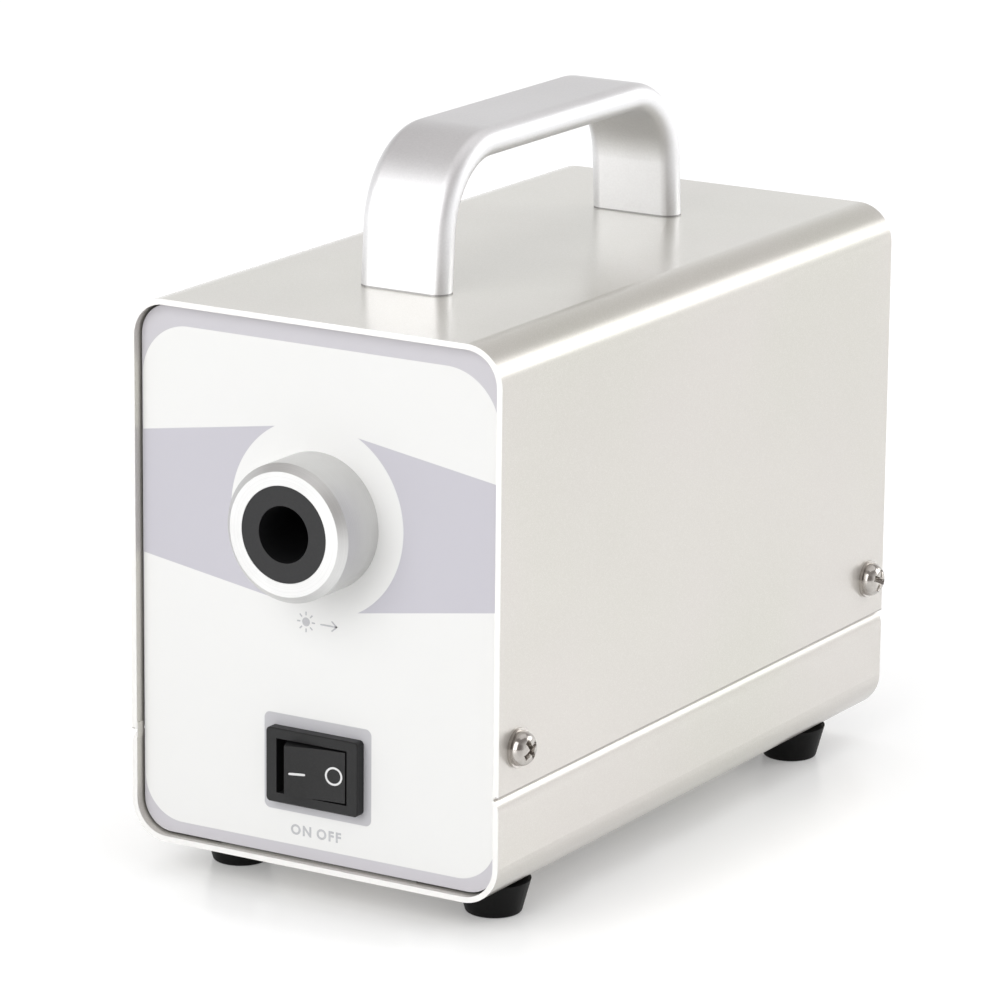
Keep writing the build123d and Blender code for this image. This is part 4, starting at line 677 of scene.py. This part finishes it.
sun = (-2.4 * mm, 50.0 * mm)
rays = []
for way in (k * pi / 4 for k in range(8)):
    middle = (sun[0] + 1.5 * mm * cos(way), sun[1] + 1.5 * mm * sin(way))
    rays.append(bar(middle, 0.34 * mm, 0.13 * mm, way))
arrow = [
    bar((2.2 * mm, sun[1]), 1.7 * mm, 0.14 * mm),
    bar((3.35 * mm, sun[1] + 0.42 * mm), 0.75 * mm, 0.14 * mm, -0.7),
    bar((3.35 * mm, sun[1] - 0.42 * mm), 0.75 * mm, 0.14 * mm, 0.7),
]
symbols = [plaque(outline, on_label) for outline in rays + arrow]
phase = np.linspace(0.0, 2 * pi, 40, endpoint=False)
circle = np.stack((sun[0] + 0.78 * mm * np.cos(phase), sun[1] + 0.78 * mm * np.sin(phase)), axis=-1)
grid_piece("light_symbol", symbols + [plaque(circle, on_label)], "case", "grey_ink")

words = [("ON", -3.35 * mm, 12.2 * mm), ("OFF", 2.3 * mm, 12.2 * mm)]
printed_text("on_off_letters", words, 2.5 * mm, "grey_ink", on_label, 1.25)

# ---------------------------------------------------------------- dimmer dial
KNOB_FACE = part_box("dimmer_knob")[1][1]


def on_knob(x, z, height):
    """Point on the floor of the knob's groove, with its height above it."""
    return np.stack((x, KNOB_FACE - 0.5 * mm + height + 0 * x, z), axis=-1)


pointer = plaque(bar((DIAL[0], DIAL[1] + 4.3 * mm), 0.38 * mm, 3.7 * mm, softness=0.2), on_knob)
grid_piece("dial_pointer", [pointer], "dimmer", "white_ink")
ticks, figures = [], []
for k in range(11):
    clock = radians(28.0 * k)
    reach = (0.45 if k % 2 else 0.65) * mm
    middle = (10.15 * mm * sin(clock), 10.15 * mm * cos(clock))
    ticks.append(plaque(bar(middle, reach, 0.13 * mm, pi / 2 - clock), on_dial))
    if k % 2 == 0:
        figures.append((str(k), 12.3 * mm * sin(clock), 12.3 * mm * cos(clock)))
grid_piece("dial_ticks", ticks, "case", "black_ink")
printed_text("dial_figures", figures, 2.1 * mm, "black_ink", on_dial)

# ---------------------------------------------------------------- camera
camera = bpy.data.objects.new("camera", bpy.data.cameras.new("camera"))
bpy.context.scene.collection.objects.link(camera)
yaw, pitch, roll = radians(31.045), radians(14.702), radians(0.567)
ahead = Vector((-sin(yaw) * cos(pitch), cos(yaw) * cos(pitch), -sin(pitch)))
level = Vector((cos(yaw), sin(yaw), 0.0))
upward = level.cross(ahead)
right = level * cos(roll) + upward * sin(roll)
up = upward * cos(roll) - level * sin(roll)
turn = Matrix((right, up, -ahead)).transposed().to_4x4()
camera.matrix_world = Matrix.Translation((0.502607, CASE_FRONT - 0.773076, 0.314475)) @ turn
camera.data.sensor_width = 36.0
camera.data.lens = 202.014
camera.data.clip_start = 0.01
camera.data.clip_end = 50.0
bpy.context.scene.camera = camera


# ---------------------------------------------------------------- studio
def soft_lamp(name, place, aim, width, height, power):
    """Rectangular soft lamp at a place, turned to its aim."""
    data = bpy.data.lights.new(name, "AREA")
    data.shape = "RECTANGLE"
    data.size = width
    data.size_y = height
    data.energy = power
    lamp = bpy.data.objects.new(name, data)
    bpy.context.scene.collection.objects.link(lamp)
    lamp.location = place
    lamp.rotation_mode = "QUATERNION"
    lamp.rotation_quaternion = (Vector(aim) - Vector(place)).to_track_quat("-Z", "Y")


soft_lamp("front lamp", (-0.22, -1.15, 0.60), (0.0, 0.0, 0.06), 1.2, 1.2, 10.0)
soft_lamp("overhead lamp", (0.1, 0.3, 1.2), (0.0, 0.0, 0.06), 1.2, 1.2, 2.6)
soft_lamp("right lamp", (0.62, 0.58, 0.42), (0.0, 0.05, 0.06), 0.4, 0.5, 1.3)
soft_lamp("back lamp", (0.60, 1.02, 0.44), (0.0, 0.0, 0.06), 0.45, 0.36, 0.95)

world = bpy.data.worlds.new("studio")
bpy.context.scene.world = world
world.use_nodes = True
tree = world.node_tree
tree.nodes.clear()
path = node(tree, "LightPath").outputs
generated = node(tree, "TexCoord").outputs["Generated"]
towards = node(tree, "SeparateXYZ", {0: generated}).outputs
overhead = spread(tree, towards[2], 0.22, 0.7, 0.0, 0.72)
inputs = {0: generated, 1: (0.5, -0.83, 0.25)}
facing = node(tree, "VectorMath", inputs, operation="DOT_PRODUCT").outputs["Value"]
room = spread(tree, facing, 0.6, 0.95, 0.0, 0.8)
darkness = calc(tree, "MULTIPLY", calc(tree, "MAXIMUM", overhead, room), path["Is Glossy Ray"])
studio = blend(tree, darkness, (1.0, 1.0, 1.0, 1.0), (0.13, 0.10, 0.09, 1.0))
through = calc(tree, "MAXIMUM", path["Is Glossy Ray"], path["Is Transmission Ray"])
seen = calc(tree, "MAXIMUM", path["Is Camera Ray"], through)
light = node(tree, "Background", {0: (1.0, 1.0, 1.0, 1.0), 1: 0.42})
white = node(tree, "Background", {0: studio, 1: 1.0})
mixed = node(tree, "MixShader", {0: seen, 1: light.outputs[0], 2: white.outputs[0]})
tree.links.new(mixed.outputs[0], node(tree, "OutputWorld").inputs[0])

floor_mesh = bpy.data.meshes.new("floor")
floor_mesh.from_pydata([(-6, -6, 0), (6, -6, 0), (6, 6, 0), (-6, 6, 0)], [], [(0, 1, 2, 3)])
floor = bpy.data.objects.new("floor", floor_mesh)
bpy.context.scene.collection.objects.link(floor)
floor_finish = bpy.data.materials.new("white floor")
floor_finish.use_nodes = True
tree = floor_finish.node_tree
shader = tree.nodes["Principled BSDF"]
shader.inputs["Base Color"].default_value = (0.84, 0.84, 0.84, 1.0)
shader.inputs["Roughness"].default_value = 0.22
shader.inputs["Specular IOR Level"].default_value = 0.3
path = node(tree, "LightPath").outputs
through = calc(tree, "MAXIMUM", path["Is Glossy Ray"], path["Is Transmission Ray"])
seen = calc(tree, "MAXIMUM", path["Is Camera Ray"], through)
open_sky = node(tree, "AmbientOcclusion", {"Distance": 0.05}, samples=8).outputs["AO"]
open_sky = calc(tree, "MULTIPLY_ADD", open_sky, 0.55, 0.45)
place = node(tree, "TexCoord").outputs["Object"]
spot = node(tree, "VectorMath", {0: place}, operation="LENGTH").outputs["Value"]
far = spread(tree, spot, 1.0, 1.5, 0.0, 0.25)
strength = calc(tree, "MULTIPLY", seen, calc(tree, "MULTIPLY_ADD", open_sky, 0.42, far))
glow = node(tree, "Emission", {0: (1.0, 1.0, 1.0, 1.0), 1: strength})
mixed = node(tree, "AddShader", {0: shader.outputs[0], 1: glow.outputs[0]})
tree.links.new(mixed.outputs[0], tree.nodes["Material Output"].inputs[0])
floor_mesh.materials.append(floor_finish)

bpy.context.scene.view_settings.view_transform = "Standard"
